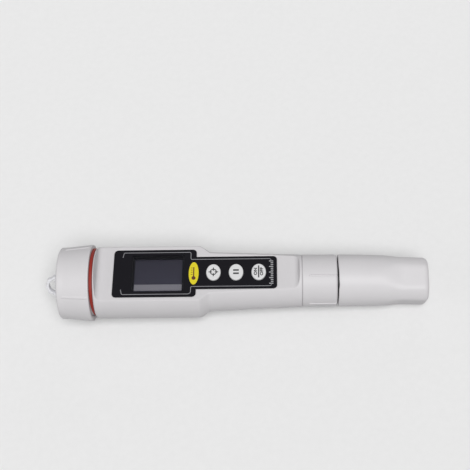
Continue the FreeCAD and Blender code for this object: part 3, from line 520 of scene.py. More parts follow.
def about_axis(x: Array, radius: Array, angle: Array) -> Array:
    """Points at station x, at a radius and an angle from the top about the pen's axis.

    Args:
        x: stations.
        radius: distances from the axis.
        angle: angles in radians from the top towards the display's lower edge.

    Returns:
        An array of (x, y, z), with y = -radius sin(angle) and z = axis + radius cos(angle).
    """
    x, radius, angle = np.broadcast_arrays(x, radius, angle)
    return np.stack([x, -radius * np.sin(angle), AXIS_HEIGHT + radius * np.cos(angle)], -1)


def add_object(name: str, data: bpy.types.ID) -> bpy.types.Object:
    """Puts a new object with that name and data into the scene."""
    made = bpy.data.objects.new(name, data)
    bpy.context.scene.collection.objects.link(made)
    return made


def full_circle(count: int) -> Array:
    """Evenly spaced angles from 0 up to a full turn."""
    return np.linspace(0, FULL_TURN, count, endpoint=False)


def away_from(angle: Array, centre: float | Array, pitch: float = FULL_TURN) -> Array:
    """How far angles lie from the nearest of evenly spaced centres.

    Args:
        angle: angles in radians.
        centre: one of the centres.
        pitch: angle between two centres.

    Returns:
        Signed distances of half a pitch at most.
    """
    return (angle - centre + pitch / 2) % pitch - pitch / 2


@dataclass
class Surface:
    """Points and quads that become one mesh piece."""

    points: list[Array] = field(default_factory=list)
    quads: list[Array] = field(default_factory=list)
    count: int = 0

    def grid(self, xyz: Array, wrap_rows: bool = False, wrap_columns: bool = False) -> None:
        """Adds a grid.

        Args:
            xyz: points as rows by columns by three, in millimetres.
            wrap_rows: joins the last row to the first.
            wrap_columns: joins the last column to the first.
        """
        rows, columns = xyz.shape[:2]
        self.points.append(xyz.reshape(-1, 3))
        self.quads.append(grid_faces(rows, columns, wrap_rows, wrap_columns) + self.count)
        self.count += rows * columns

    def piece(
        self,
        name: str,
        finish: Finish,
        slot: str,
        body: str,
        smooth: float = SMOOTH_ANGLE,
        mesh: bpy.types.Mesh | None = None,
    ) -> bpy.types.Object:
        """Makes a closed piece, merges its seams and poles, and hands it to its body.

        Args:
            name: the piece's name.
            finish: its finish.
            slot: the record's material slot; not used.
            body: the body that it rides on.
            smooth: edges sharper than this angle stay crisp.
            mesh: a ready mesh in metres that takes the place of the grids.

        Returns:
            The object, at the origin.
        """
        if mesh is None:
            mesh = bpy.data.meshes.new(name)
            xyz = np.concatenate(self.points) * MM
            mesh.from_pydata(xyz.tolist(), [], np.concatenate(self.quads).tolist())
        work = bmesh.new()
        work.from_mesh(mesh)
        bmesh.ops.remove_doubles(work, verts=work.verts, dist=2e-6)
        bmesh.ops.dissolve_degenerate(work, edges=work.edges, dist=1e-7)
        bmesh.ops.recalc_face_normals(work, faces=work.faces)
        work.to_mesh(mesh)
        work.free()
        mesh.polygons.foreach_set("use_smooth", np.ones(len(mesh.polygons), bool))
        mesh.set_sharp_from_angle(angle=smooth)
        mesh.materials.append(material_of(finish))
        made = add_object(name, mesh)
        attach(made, body)
        return made


def skin(rows: Array, wrap_rows: bool = False) -> Surface:
    """A surface of one grid whose rows run right round the pen.

    Args:
        rows: points as rows by columns by three, in millimetres.
        wrap_rows: joins the last row to the first.

    Returns:
        The surface.
    """
    surface = Surface()
    surface.grid(rows, wrap_rows=wrap_rows, wrap_columns=True)
    return surface


def polyline(points: list[Pair], step: float) -> Array:
    """Fills a polyline with evenly spaced points and keeps its corners.

    Args:
        points: corners.
        step: largest distance between points.

    Returns:
        An array of (x, y).
    """
    runs = []
    for (x0, y0), (x1, y1) in zip(points, points[1:]):
        count = max(1, math.ceil(math.hypot(x1 - x0, y1 - y0) / step))
        share = np.arange(count)[:, None] / count
        runs.append(np.array([[x0, y0]]) * (1 - share) + np.array([[x1, y1]]) * share)
    runs.append(np.array([points[-1]]))
    return np.concatenate(runs)


def arc(centre: Pair, radius: float, start: float, end: float, count: int) -> list:
    """Points of an arc.

    Args:
        centre: its centre.
        radius: its radius.
        start: first angle in degrees.
        end: last angle in degrees.
        count: number of points.

    Returns:
        A list of (x, y).
    """
    angles = np.radians(np.linspace(start, end, count))
    xs, ys = centre[0] + radius * np.cos(angles), centre[1] + radius * np.sin(angles)
    return list(zip(xs.tolist(), ys.tolist()))


def soft_min(a: Array, b: Array, width: float) -> Array:
    """The smaller of two values, rounded where they cross.

    Args:
        a: first values.
        b: second values.
        width: how far apart they may be and still blend.

    Returns:
        min(a, b) less a parabola of height width / 4 round the crossing.
    """
    share = np.clip(0.5 + 0.5 * (b - a) / width, 0.0, 1.0)
    return b * (1 - share) + a * share - width * share * (1 - share)


def ribbon(
    surface: Surface, path: Array, width: float, height: float, low: float, closed: bool = False
) -> None:
    """Adds a flat raised line whose edges run half its width each side of a path.

    Args:
        surface: where it goes.
        path: (x, y) points.
        width: the line's width.
        height: the line's thickness.
        low: height of its underside above the pen's axis.
        closed: the path joins its own start.
    """
    if closed:
        step = np.roll(path, -1, 0) - np.roll(path, 1, 0)
    else:
        step = np.gradient(path, axis=0)
    normal = np.stack([-step[:, 1], step[:, 0]], -1)
    normal /= np.linalg.norm(normal, axis=1)[:, None]
    left, right = path + normal * width / 2, path - normal * width / 2
    heights = (low, low + height, low + height, low)
    rows = []
    for side, level in zip((left, left, right, right), heights):
        rows.append(np.column_stack([side, np.full(len(side), AXIS_HEIGHT + level)]))
    xyz = np.stack(rows, 1)
    surface.grid(xyz, wrap_rows=closed, wrap_columns=True)
    if not closed:
        for end in (xyz[0], xyz[-1]):
            surface.grid(end[[0, 1, 3, 2]].reshape(2, 2, 3))


def plate(surface: Surface, x: Array, y: Array, low: float, high: float) -> None:
    """Adds a flat plate inside a rounded boundary that its middle can see whole.

    Args:
        surface: where it goes.
        x: boundary stations.
        y: boundary distances across the pen.
        low: underside above the pen's axis.
        high: top above the pen's axis.
    """
    middle = np.array([x.mean(), y.mean()])
    edge = np.column_stack([x, y])
    share = np.linspace(0, 1, PLATE_RINGS)[:, None, None]
    inner = middle + (edge - middle)[None] * share
    top = np.concatenate([inner, np.full(inner.shape[:2] + (1,), AXIS_HEIGHT + high)], -1)
    base = top[::-1].copy()
    base[..., 2] = AXIS_HEIGHT + low
    surface.grid(np.concatenate([top, base]), wrap_columns=True)


def thread(
    surface: Surface, root: float, height: float, start: float, end: float, phase: float
) -> None:
    """Adds a right-hand thread: a rounded ridge carried along a helix and run out at its ends.

    Args:
        surface: where it goes.
        root: radius of the wall that it stands on.
        height: ridge height, negative for a thread inside a bore.
        start: first station.
        end: last station.
        phase: angle of the start in radians.
    """
    turns = (end - start) / THREAD_LEAD
    sweep = np.linspace(0, turns * FULL_TURN, max(24, int(turns * 96)))[:, None]
    fade = np.clip(np.minimum(sweep, sweep[-1] - sweep) / 0.9, 0.0, 1.0)
    across = np.array([-0.5, -0.34, -0.2, 0.0, 0.2, 0.34, 0.5])[None, :]
    crest = np.array([-0.35, 0.35, 0.9, 1.0, 0.9, 0.35, -0.35])[None, :]
    rise = np.where(crest > 0, crest * fade, crest)
    width = THREAD_WIDTH * (0.35 + 0.65 * fade)
    x = start + sweep / FULL_TURN * THREAD_LEAD + across * width
    surface.grid(about_axis(x, root + height * rise, sweep + phase), wrap_columns=True)


def dense_angles(base: int, centres: Array, reach: float, extra: int) -> Array:
    """Angles round the pen with more of them near given centres.

    Args:
        base: number of evenly spaced angles.
        centres: angles in radians that need detail.
        reach: half width of each detailed band in radians.
        extra: angles in each band.

    Returns:
        Sorted angles from 0 up to a full turn.
    """
    even = full_circle(base)
    near = (centres[:, None] + np.linspace(-reach, reach, extra)[None, :]).ravel()
    gap = np.abs(away_from(even[:, None], centres[None, :])).min(1)
    return np.unique(np.concatenate([even[gap > reach], near % FULL_TURN]).round(7))


@dataclass
class ProtectiveCap:
    """Pull-off cap, round at its mouth and square with rounded corners at its end."""

    mouth: float = 51.2
    end: float = 95.2
    mouth_radius: float = 12.9
    middle: float = 75.0
    middle_radius: float = 12.45
    end_radius: float = 12.1
    half_flat: float = 10.9
    flat_start: float = 84.0
    scoop_start: float = 75.5
    edge: float = 2.6
    lip: float = 0.6
    turn: float = 16.5
    lean: float = 0.9
    lean_start: float = 5.0
    bore: float = 10.9
    bore_end: float = 60.0
    inner: float = 9.1
    cone_end: float = 74.0
    floor: float = 93.2
    nick: float = 0.3
    nick_angle: float = 38.0
    nick_width: float = 9.0

    def wall(self, x: Array, angle: Array) -> Array:
        """Radius of the outside.

        Args:
            x: stations.
            angle: angles from the top.

        Returns:
            The round taper, cut by four flats that are scooped in from the round part.
        """
        stations = [self.mouth, self.middle, self.end]
        taper = np.interp(x, stations, [self.mouth_radius, self.middle_radius, self.end_radius])
        run = np.clip((self.flat_start - x) / (self.flat_start - self.scoop_start), 0.0, 1.6)
        depth = self.half_flat + (self.middle_radius + 0.2 - self.half_flat) * run**2
        cut = depth / np.cos(away_from(angle, math.radians(self.turn), QUARTER_TURN))
        return soft_min(*np.broadcast_arrays(taper, cut), 0.7 + 0.9 * np.clip(run, 0.0, 1.0))

    def outside(self, x: Array, radius: Array, angle: Array) -> Array:
        """Points of the outside, whose far end leans over a little.

        Args:
            x: stations.
            radius: distances from the axis.
            angle: angles from the top.

        Returns:
            An array of (x, y, z).
        """
        xyz = about_axis(x, radius, angle)
        run = xyz[..., 0] - self.mouth - self.lean_start
        share = np.clip(run / (self.end - self.mouth - self.lean_start), 0.0, 1.0)
        return xyz + self.lean * share[..., None] ** 1.5 * DOWNHILL

    def unevenness(self, angle: Array) -> Array:
        """How far the mouth's rim strays along the pen.

        Args:
            angle: angles from the top.

        Returns:
            A slow wave with one shallow nick on the side that faces the display's lower edge.
        """
        away = (angle - math.radians(self.nick_angle)) / math.radians(self.nick_width)
        wave = 0.08 * np.sin(3 * angle + 0.8) + 0.05 * np.sin(7 * angle)
        return wave + self.nick * np.exp(-away**2)

    def build(self) -> None:
        """Builds the cap as one skin: up the bore, over the uneven rim and down to the end."""
        angle = full_circle(288)[None, :]
        floor, inner, bore = self.floor, self.inner, self.bore
        corners = [(floor, 0.0), (floor, inner - 1.0), (floor - 0.3, inner - 0.3)]
        corners += [(floor - 1.0, inner), (self.cone_end, inner), (self.bore_end, bore - 0.5)]
        corners += [(self.bore_end, bore), (self.mouth + 0.9, bore)]
        inside = polyline(corners, 4.0)
        body = np.concatenate([
            np.linspace(self.mouth + self.lip, self.scoop_start, 14)[:-1],
            np.linspace(self.scoop_start, self.flat_start, 18)[:-1],
            np.linspace(self.flat_start, self.end - self.edge, 8),
        ])[:, None]
        lip = np.radians(np.linspace(90, 0, 6))[:-1, None]
        corner = np.radians(np.linspace(0, 90, 11))[1:, None]
        low = self.end - self.edge * (1 - np.sin(corner))
        stray = self.unevenness(angle)
        lip_wall = self.wall(self.mouth + self.lip, angle)
        last = self.wall(self.end, angle) - self.edge
        rows = [
            about_axis(inside[:, :1], inside[:, 1:2], angle),
            about_axis(self.mouth + 0.4 + stray, self.bore, angle),
            about_axis(self.mouth + stray, self.bore + 0.4, angle),
            about_axis(
                self.mouth + self.lip * (1 - np.sin(lip)) + stray * np.sin(lip),
                lip_wall - self.lip * (1 - np.cos(lip)),
                angle,
            ),
            self.outside(body, self.wall(body, angle), angle),
            self.outside(low, self.wall(low, angle) - self.edge * (1 - np.cos(corner)), angle),
            self.outside(self.end, last * np.array([[0.66], [0.33], [0.0]]), angle),
        ]
        shell = skin(np.concatenate(rows))
        made = shell.piece("protective_cap_shell", CAP_WHITE, "white_abs", "protective_cap")
        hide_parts("protective_cap")


@dataclass
class BatteryCap:
    """Flared screw cap over the batteries, with four fine grip ribs and a lanyard loop."""

    end: float = -86.95
    mouth: float = -70.85
    end_radius: float = 17.9
    mouth_radius: float = 19.15
    straight: float = 3.5
    bore: float = 16.4
    floor: float = -84.35
    edge: float = 1.0
    lip: float = 0.4
    rib_rise: float = 0.35
    rib_angle: float = 50.5
    rib_width: float = 1.1
    rib_ends: Pair = (2.6, 0.5)
    rib_fades: Pair = (0.7, 0.6)
    loop_tilt: float = -30.0
    loop_centre: float = -89.3
    loop_drop: float = 1.05
    loop_hole: float = 4.1
    loop_side: float = -90.4
    loop_band: float = 5.3
    loop_foot: float = 8.6
    loop_waist: float = 6.4
    loop_middle: float = -91.7
    loop_thickness: float = 3.0
    petal: float = 1.65
    petal_circle: float = 4.25
    petal_step: float = 40.0

    def ribs(self, x: Array, angle: Array) -> Array:
        """Height of the ribs over the cap's wall.

        Args:
            x: stations.
            angle: angles from the top.

        Returns:
            A rounded ridge every quarter turn that fades out near both ends.
        """
        off = away_from(angle, math.radians(self.rib_angle), QUARTER_TURN) * self.end_radius
        ridge = np.clip(1.25 - (2 * np.abs(off) / self.rib_width) ** 2, 0.0, 1.0)
        start = np.clip((x - self.end - self.rib_ends[0]) / self.rib_fades[0], 0.0, 1.0)
        stop = np.clip((self.mouth - self.rib_ends[1] - x) / self.rib_fades[1], 0.0, 1.0)
        return self.rib_rise * ridge * start * stop

    def build_cap(self) -> None:
        """Builds the cap as one skin turned from its outline, with the ribs raised on it."""
        centres = np.radians(self.rib_angle + 90.0 * np.arange(4))
        angle = dense_angles(200, centres, 0.07, 15)[None, :]
        outer = np.array(
            [(self.end, 0.0), (self.end, 6.0), (self.end, 12.0)]
            + arc((self.end + self.edge, self.end_radius - self.edge), self.edge, 180, 90, 7)
            + [(self.end + run, self.end_radius) for run in (2.0, 2.6, 2.8, 3.1, 3.4)]
        )
        start = self.end + self.straight
        flare = np.linspace(start, self.mouth - 1.8, 9)
        flare = np.concatenate([flare, self.mouth - np.array([1.5, 1.2, 0.8, self.lip])])
        share = (flare - start) / (self.mouth - self.lip - start)
        widening = self.mouth_radius - self.end_radius
        wall = np.column_stack([flare, self.end_radius + widening * share])
        rim = (self.mouth - self.lip, self.mouth_radius - self.lip)
        mouth = np.array(arc(rim, self.lip, 70, 0, 4))
        corners = [(self.mouth, self.bore + 0.3), (self.mouth - 0.3, self.bore)]
        corners += [(self.floor, self.bore), (self.floor, 0.0)]
        inside = polyline(corners, 3.0)
        profile = np.concatenate([outer, wall, mouth, inside])
        x, radius = profile[:, :1], profile[:, 1:2]
        outside = np.arange(len(profile))[:, None] < len(outer) + len(wall)
        shell = skin(about_axis(x, radius + self.ribs(x, angle) * outside, angle))
        made = shell.piece("battery_cap_shell", CAP_WHITE, "white_abs", "battery_cap")
        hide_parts("battery_cap")

    def loop_reach(self, angle: Array, middle: float) -> tuple[Array, Array]:
        """Distances from the hole's middle to the hole's rim and to the outside.

        Args:
            angle: directions from the middle, with 0 towards the cap.
            middle: station of the hole's middle.

        Returns:
            Inner and outer distances: where each direction leaves the hole, and where it
            leaves the band, its petals or its foot, whichever is furthest.
        """

        def leave(cx: float, cy: float, radius: float) -> Array:
            """Where each direction leaves a circle, or 0 where it misses."""
            along = (cx - middle) * np.cos(angle) + cy * np.sin(angle)
            spare = along**2 - ((cx - middle) ** 2 + cy**2 - radius**2)
            return np.where(spare > 0, along + np.sqrt(np.maximum(spare, 0)), 0.0)

        def cross(station: float) -> Array:
            """Where each direction crosses a station, or far off where it turns away."""
            ahead = np.cos(angle) > 1e-6
            return np.where(ahead, (station - middle) / np.where(ahead, np.cos(angle), 1), FAR)

        hole = leave(self.loop_centre, 0.0, self.loop_hole)
        outer = leave(self.loop_centre, 0.0, self.loop_band)
        for step in (-2, -1, 0, 1, 2):
            turn = math.radians(180 + step * self.petal_step)
            centre = self.loop_centre + self.petal_circle * math.cos(turn)
            petal = leave(centre, self.petal_circle * math.sin(turn), self.petal)
            outer = -soft_min(-outer, -petal, 0.3)
        reach = self.end - middle
        foot = math.atan2(self.loop_foot, reach)
        corner = math.hypot(self.loop_foot, reach)
        bend = math.atan2(self.loop_band, self.loop_centre - middle)
        bearings = [0.0, foot, (foot + bend) / 2, bend]
        reaches = [corner, corner, self.loop_waist, 0.0]
        flare = np.interp(np.abs(away_from(angle, 0.0)), bearings, reaches)
        outer = np.minimum(np.maximum(outer, flare), cross(self.end))
        return np.minimum(hole, cross(self.loop_side)), outer

    def build_loop(self) -> None:
        """Builds the loop: a rounded section carried round the hole between its two rims."""
        middle = self.loop_middle
        angle = full_circle(360)
        inner, outer = self.loop_reach(angle, middle)
        section = full_circle(24)[None, :]
        across, up = (
            np.sign(part) * np.abs(part) ** 0.5 for part in (np.cos(section), np.sin(section))
        )
        half = (outer - inner)[:, None] / 2
        reach = (outer + inner)[:, None] / 2 + half * across
        x = middle + reach * np.cos(angle)[:, None]
        radial = reach * np.sin(angle)[:, None]
        side = self.loop_thickness / 2 * up
        tilt = math.radians(self.loop_tilt)
        y = -radial * math.sin(tilt) + side * math.cos(tilt)
        z = AXIS_HEIGHT + radial * math.cos(tilt) + side * math.sin(tilt)
        band = skin(np.stack([x, y, z], -1) + self.loop_drop * DOWNHILL, wrap_rows=True)
        made = band.piece(
            "lanyard_loop_band", LOOP_NYLON, "loop_nylon", "battery_cap", math.radians(50)
        )
        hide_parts("lanyard_loop")

    def build_thread(self) -> None:
        """Builds the thread inside the cap's mouth."""
        surface = Surface()
        thread(surface, self.bore, -0.22, self.mouth - 7.5, self.mouth - 1.4, phase=1.0)
        surface.piece("battery_cap_thread", CAP_WHITE, "white_abs", "battery_cap")

    def build(self) -> None:
        """Builds the cap, its thread and its loop."""
        self.build_cap()
        self.build_thread()
        self.build_loop()


@dataclass
class SealRing:
    """Red ring between the battery cap and the head, sunk deeper along one side."""

    left: float = -70.81
    right: float = -69.19
    bore: float = 16.2
    radius: float = 17.45
    round: float = 0.5
    sink: float = 0.85
    squeeze: float = 0.55
    sink_angle: float = 122.0
    sink_width: float = 46.0
    ripple: float = 0.03

    def build(self) -> None:
        """Builds the ring as one skin turned from its outline."""
        angle = full_circle(240)[None, :]
        top = self.radius - self.round
        outline = np.array(
            [(self.left, self.bore), (self.left, (self.bore + top) / 2)]
            + arc((self.left + self.round, top), self.round, 180, 90, 6)
            + arc((self.right - self.round, top), self.round, 90, 0, 6)
            + [(self.right, (self.bore + top) / 2), (self.right, self.bore)]
        )
        x, radius = outline[:, :1], outline[:, 1:2]
        off = away_from(angle, math.radians(self.sink_angle))
        swell = np.exp(-((off / math.radians(self.sink_width)) ** 2))
        left = 1.0 - self.sink * swell - self.ripple * (1.0 + np.sin(5 * angle))
        radius = self.bore + (radius - self.bore) * left
        x = self.right - (self.right - x) * (1.0 - self.squeeze * swell)
        ring = skin(about_axis(x, radius, angle), wrap_rows=True)
        made = ring.piece("cap_seal_ring", RED_RUBBER, "red_rubber", "meter_body")
        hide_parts("cap_seal")


@dataclass
class Collar:
    """Grooved screw collar that holds the probe."""

    start: float = 33.43
    end: float = 50.6
    radius: float = 12.95
    bore: float = 11.48
    inner: float = 45.5
    end_bore: float = 9.9
    edge: float = 1.3
    chamfer: float = 0.3
    groove_depth: float = 0.45
    groove_width: float = 0.8
    groove_start: float = 37.2
    grooves: int = 5
    groove_angle: float = 16.0

    def dip(self, x: Array, angle: Array) -> Array:
        """Depth of the grooves.

        Args:
            x: stations.
            angle: angles from the top.

        Returns:
            A rounded channel that starts with a round end and runs out of the collar's end.
        """
        off = away_from(angle, math.radians(self.groove_angle), FULL_TURN / self.grooves)
        past = np.minimum(x - self.groove_start, 0.0)
        away = np.hypot(off * self.radius, past) / (self.groove_width / 2)
        return self.groove_depth * np.clip(1.35 - away**2, 0.0, 1.0)

    def build(self) -> None:
        """Builds the collar as one skin turned from its outline, with grooves pressed in."""
        centres = np.radians(self.groove_angle + 360.0 / self.grooves * np.arange(self.grooves))
        angle = dense_angles(200, centres, 0.055, 13)[None, :]
        first = self.start + self.chamfer
        stations = np.unique(np.concatenate([
            np.linspace(first, self.end - self.edge, 12),
            self.groove_start + np.linspace(-0.5, 0.6, 9),
        ]))
        outer = [(self.start, self.radius - self.chamfer)] + [(x, self.radius) for x in stations]
        outer += arc((self.end - self.edge, self.radius - self.edge), self.edge, 80, 0, 8)
        corners = [(self.end, self.end_bore + 0.2), (self.end - 0.2, self.end_bore)]
        corners += [(self.inner, self.end_bore), (self.inner, self.bore)]
        corners += [(self.start + 0.2, self.bore), (self.start, self.bore + 0.2)]
        inside = polyline(corners, 3.0)
        profile = np.concatenate([np.array(outer), inside])
        x, radius = profile[:, :1], profile[:, 1:2]
        outside = np.arange(len(profile))[:, None] < len(outer)
        depth = self.dip(x, angle) * outside
        ring = skin(about_axis(x, radius - depth, angle), wrap_rows=True)
        made = ring.piece("collar_ring", WHITE_ABS, "white_abs", "collar")
        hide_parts("collar")


@dataclass
class DisplayPanel:
    """The film's printed lines and marks and the display below its window."""

    line_low: float = FACE_HEIGHT
    line_height: float = 0.02
    line_width: float = 0.3
    badge_x: float = -20.0
    badge_y: float = -0.25
    badge_half: Pair = (2.45, 6.2)
    scale_x: float = 18.3
    scale_half: float = 6.2
    ledge: tuple[float, float, float, float] = (-49.6, -25.0, -8.2, -4.8)
    glass_top: float = 6.7
    window: Triple = (-50.7, -24.9, 10.0)
    window_low: float = 8.2
    border: Pair = (0.95, -0.32)

    def oval(self, surface: Surface, y: float, half: Pair, low: float) -> None:
        """Adds a flat oval of ink on the badge's middle line.

        Args:
            surface: where it goes.
            y: place of its middle across the pen.
            half: half its size along and across the pen.
            low: its underside above the pen's axis.
        """
        angle = full_circle(96)
        x, y = self.badge_x + half[0] * np.cos(angle), y + half[1] * np.sin(angle)
        plate(surface, x, y, low, low + self.line_height)

    def build_lines(self) -> None:
        """Builds the two silver lines that follow the panel's stepped edge."""
        top = (
            [(-55.5, 8.9), (-55.15, 11.0)]
            + arc((-54.5, 10.95), 0.65, 175, 90, 4)
            + arc((-22.3, 10.9), 0.7, 90, 5, 5)
            + arc((-20.9, 8.2), 0.65, 180, 270, 5)
            + [(17.2, 7.55)]
            + arc((17.2, 6.9), 0.65, 88, 50, 3)
            + [(18.3, 6.8)]
        )
        bottom = (
            [(-55.8, -8.9), (-55.3, -11.0)]
            + arc((-54.6, -10.95), 0.65, 185, 270, 4)
            + arc((-22.7, -10.2), 1.4, 270, 355, 6)
            + arc((-20.6, -8.25), 0.7, 180, 90, 5)
            + [(17.4, -7.55)]
            + arc((17.4, -6.95), 0.6, 272, 310, 3)
            + [(18.5, -6.9)]
        )
        surface = Surface()
        for corners in (top, bottom):
            path = polyline(corners, 2.0)
            ribbon(surface, path, self.line_width, self.line_height, self.line_low)
        surface.piece("panel_silver_lines", SILVER_INK, "panel_film", "meter_body")

    def build_badge(self) -> None:
        """Builds the yellow oval with a plain thermometer mark."""
        surface, marks = Surface(), Surface()
        high = self.line_low + self.line_height
        self.oval(surface, self.badge_y, self.badge_half, self.line_low)
        surface.piece("badge_oval", YELLOW_INK, "panel_film", "meter_body")
        bulb_y = self.badge_y - 2.6
        self.oval(marks, bulb_y, (1.0, 1.0), high)
        stem = np.array([(self.badge_x, bulb_y + 0.8), (self.badge_x, self.badge_y + 3.4)])
        ribbon(marks, stem, 0.55, self.line_height, high)
        for step in range(4):
            y = self.badge_y - 0.6 + 1.2 * step
            tick = np.array([(self.badge_x - 1.35, y), (self.badge_x - 0.6, y)])
            ribbon(marks, tick, 0.3, self.line_height, high)
        marks.piece("badge_mark", BROWN_INK, "panel_film", "meter_body")

    def build_scale(self) -> None:
        """Builds a plain row of ticks across the panel's end."""
        surface = Surface()
        for step in range(13):
            y = -self.scale_half + 2 * self.scale_half / 12 * step
            long = 2.0 if step % 3 == 0 else 1.2
            tick = np.array([(self.scale_x + 0.9 - long, y), (self.scale_x + 0.9, y)])
            ribbon(surface, tick, 0.42, self.line_height, self.line_low)
        surface.piece("panel_ticks", PALE_INK, "panel_film", "meter_body")

    def build_ledge(self) -> None:
        """Builds a paler strip along the display's lower edge."""
        x0, x1, y0, y1 = self.ledge
        xs = np.linspace(x0, x1, 24)
        x = np.concatenate([xs, xs[::-1]])
        y = np.concatenate([np.full(24, y0), np.full(24, y1)])
        surface = Surface()
        plate(surface, x, y, self.glass_top, self.glass_top + 0.05)
        surface.piece("lcd_ledge_strip", LCD_LEDGE, "lcd_glass", "meter_body")

    def build_border(self) -> None:
        """Builds the black border printed under the window, which hides the case's wall; it is
        partly print and partly painted shade along the window's edges.
        """
        left, right, half = self.window
        corners = np.array([(left, -half), (right, -half), (right, half), (left, half)])
        outward = np.array([(-1, -1), (1, -1), (1, 1), (-1, 1)])
        outer, inner = self.border
        low, high = self.window_low + 0.005, self.window_low + 0.03
        rows = [
            np.column_stack([corners + outward * grow, np.full(4, AXIS_HEIGHT + level)])
            for grow, level in ((outer, low), (outer, high), (inner, high), (inner, low))
        ]
        # painted shade in part: the black frame darkens the window's edges, where the case's lit
        # wall would show
        frame_ring = skin(np.stack(rows), wrap_rows=True)
        frame_ring.piece("window_border", BLACK_INK, "panel_film", "meter_body")

    def build(self) -> None:
        """Builds the printed lines and border, the badge, the ticks and the display's ledge."""
        self.build_border()
        self.build_lines()
        self.build_badge()
        self.build_scale()
        self.build_ledge()


class Legend(Enum):
    """The generic mark on each key: straight strokes, each with its corners and its width."""

    TARGET = tuple(
        (((0.7 * x, 0.7 * y), (2.4 * x, 2.4 * y)), 0.46)
        for x, y in ((1.0, 0.0), (0.0, 1.0), (-1.0, 0.0), (0.0, -1.0))
    )
    BARS = tuple((((-1.4, side), (1.4, side)), 0.85) for side in (-0.9, 0.9))
    POWER = ((((0.0, -3.3), (0.0, 3.3)), 0.6),)


@dataclass
class Keys:
    """Marks printed on the three oval keys."""

    first: float = -10.25
    pitch: float = 11.15
    top: float = FACE_HEIGHT + 0.8
    ink: float = 0.015
    ring_radius: float = 1.45
    ring_width: float = 0.48
    word_size: float = 2.7
    word_weight: float = 0.11
    word_squash: Pair = (0.95, 0.78)
    word_step: float = 1.5
    legends: tuple[tuple[str, Legend], ...] = (
        ("key_cal", Legend.TARGET),
        ("key_hold", Legend.BARS),
        ("key_power", Legend.POWER),
    )

    def mark(self, surface: Surface, legend: Legend, x: float) -> None:
        """Adds a key's strokes, and the ring of the target.

        Args:
            surface: where they go.
            legend: the key's mark.
            x: station of the key's middle.
        """
        if legend is Legend.TARGET:
            angle = full_circle(48)
            ring = np.column_stack([np.cos(angle), np.sin(angle)]) * self.ring_radius
            ribbon(surface, ring + [x, 0.0], self.ring_width, self.ink, self.top, closed=True)
        for corners, width in legend.value:
            ribbon(surface, np.array(corners) + [x, 0.0], width, self.ink, self.top)

    def word(self, text: str, x: float, body: str) -> None:
        """Prints a word that reads across the pen.

        Args:
            text: the word.
            x: station of its middle.
            body: the key that it rides on.
        """
        curve = bpy.data.curves.new("word_" + text.lower(), "FONT")
        curve.body, curve.size = text, self.word_size
        curve.align_x, curve.align_y = "CENTER", "CENTER"
        curve.extrude, curve.offset = self.ink / 2, self.word_weight
        curve.resolution_u = 3
        source = add_object(curve.name, curve)
        graph = bpy.context.evaluated_depsgraph_get()
        mesh = bpy.data.meshes.new_from_object(source.evaluated_get(graph))
        bpy.data.objects.remove(source)
        lift = Vector((x, 0.0, AXIS_HEIGHT + self.top + self.ink / 2)) * MM
        squash = Matrix.Diagonal((*self.word_squash, 1.0, 1.0))
        turn = Matrix.Rotation(QUARTER_TURN, 4, "Z") @ squash
        mesh.transform(Matrix.Translation(lift) @ Matrix.Scale(MM, 4) @ turn)
        mesh.materials.clear()
        name = "power_word_" + text.lower()
        Surface().piece(name, BLACK_INK, "key_rubber", body, mesh=mesh)

    def build(self) -> None:
        """Builds each key's mark, and the two words of the power key."""
        for step, (body, legend) in enumerate(self.legends):
            x = self.first + self.pitch * step
            surface = Surface()
            self.mark(surface, legend, x)
            surface.piece(body + "_mark", BLACK_INK, "key_rubber", body)
            if legend is Legend.POWER:
                self.word("ON", x - self.word_step, body)
                self.word("OFF", x + self.word_step, body)


@dataclass
class Housing:
    """Threads on the housing's two necks."""

    neck_radius: float = 16.1
    neck: Pair = (-78.6, -72.0)
    lower_radius: float = 11.4
    lower_neck: Pair = (34.8, 40.2)

    def build(self) -> None:
        """Builds both threads."""
        surface = Surface()
        thread(surface, self.neck_radius, 0.22, *self.neck, phase=1.0 + math.pi)
        thread(surface, self.lower_radius, 0.06, *self.lower_neck, phase=0.3)
        surface.piece("neck_threads", WHITE_ABS, "white_abs", "meter_body")


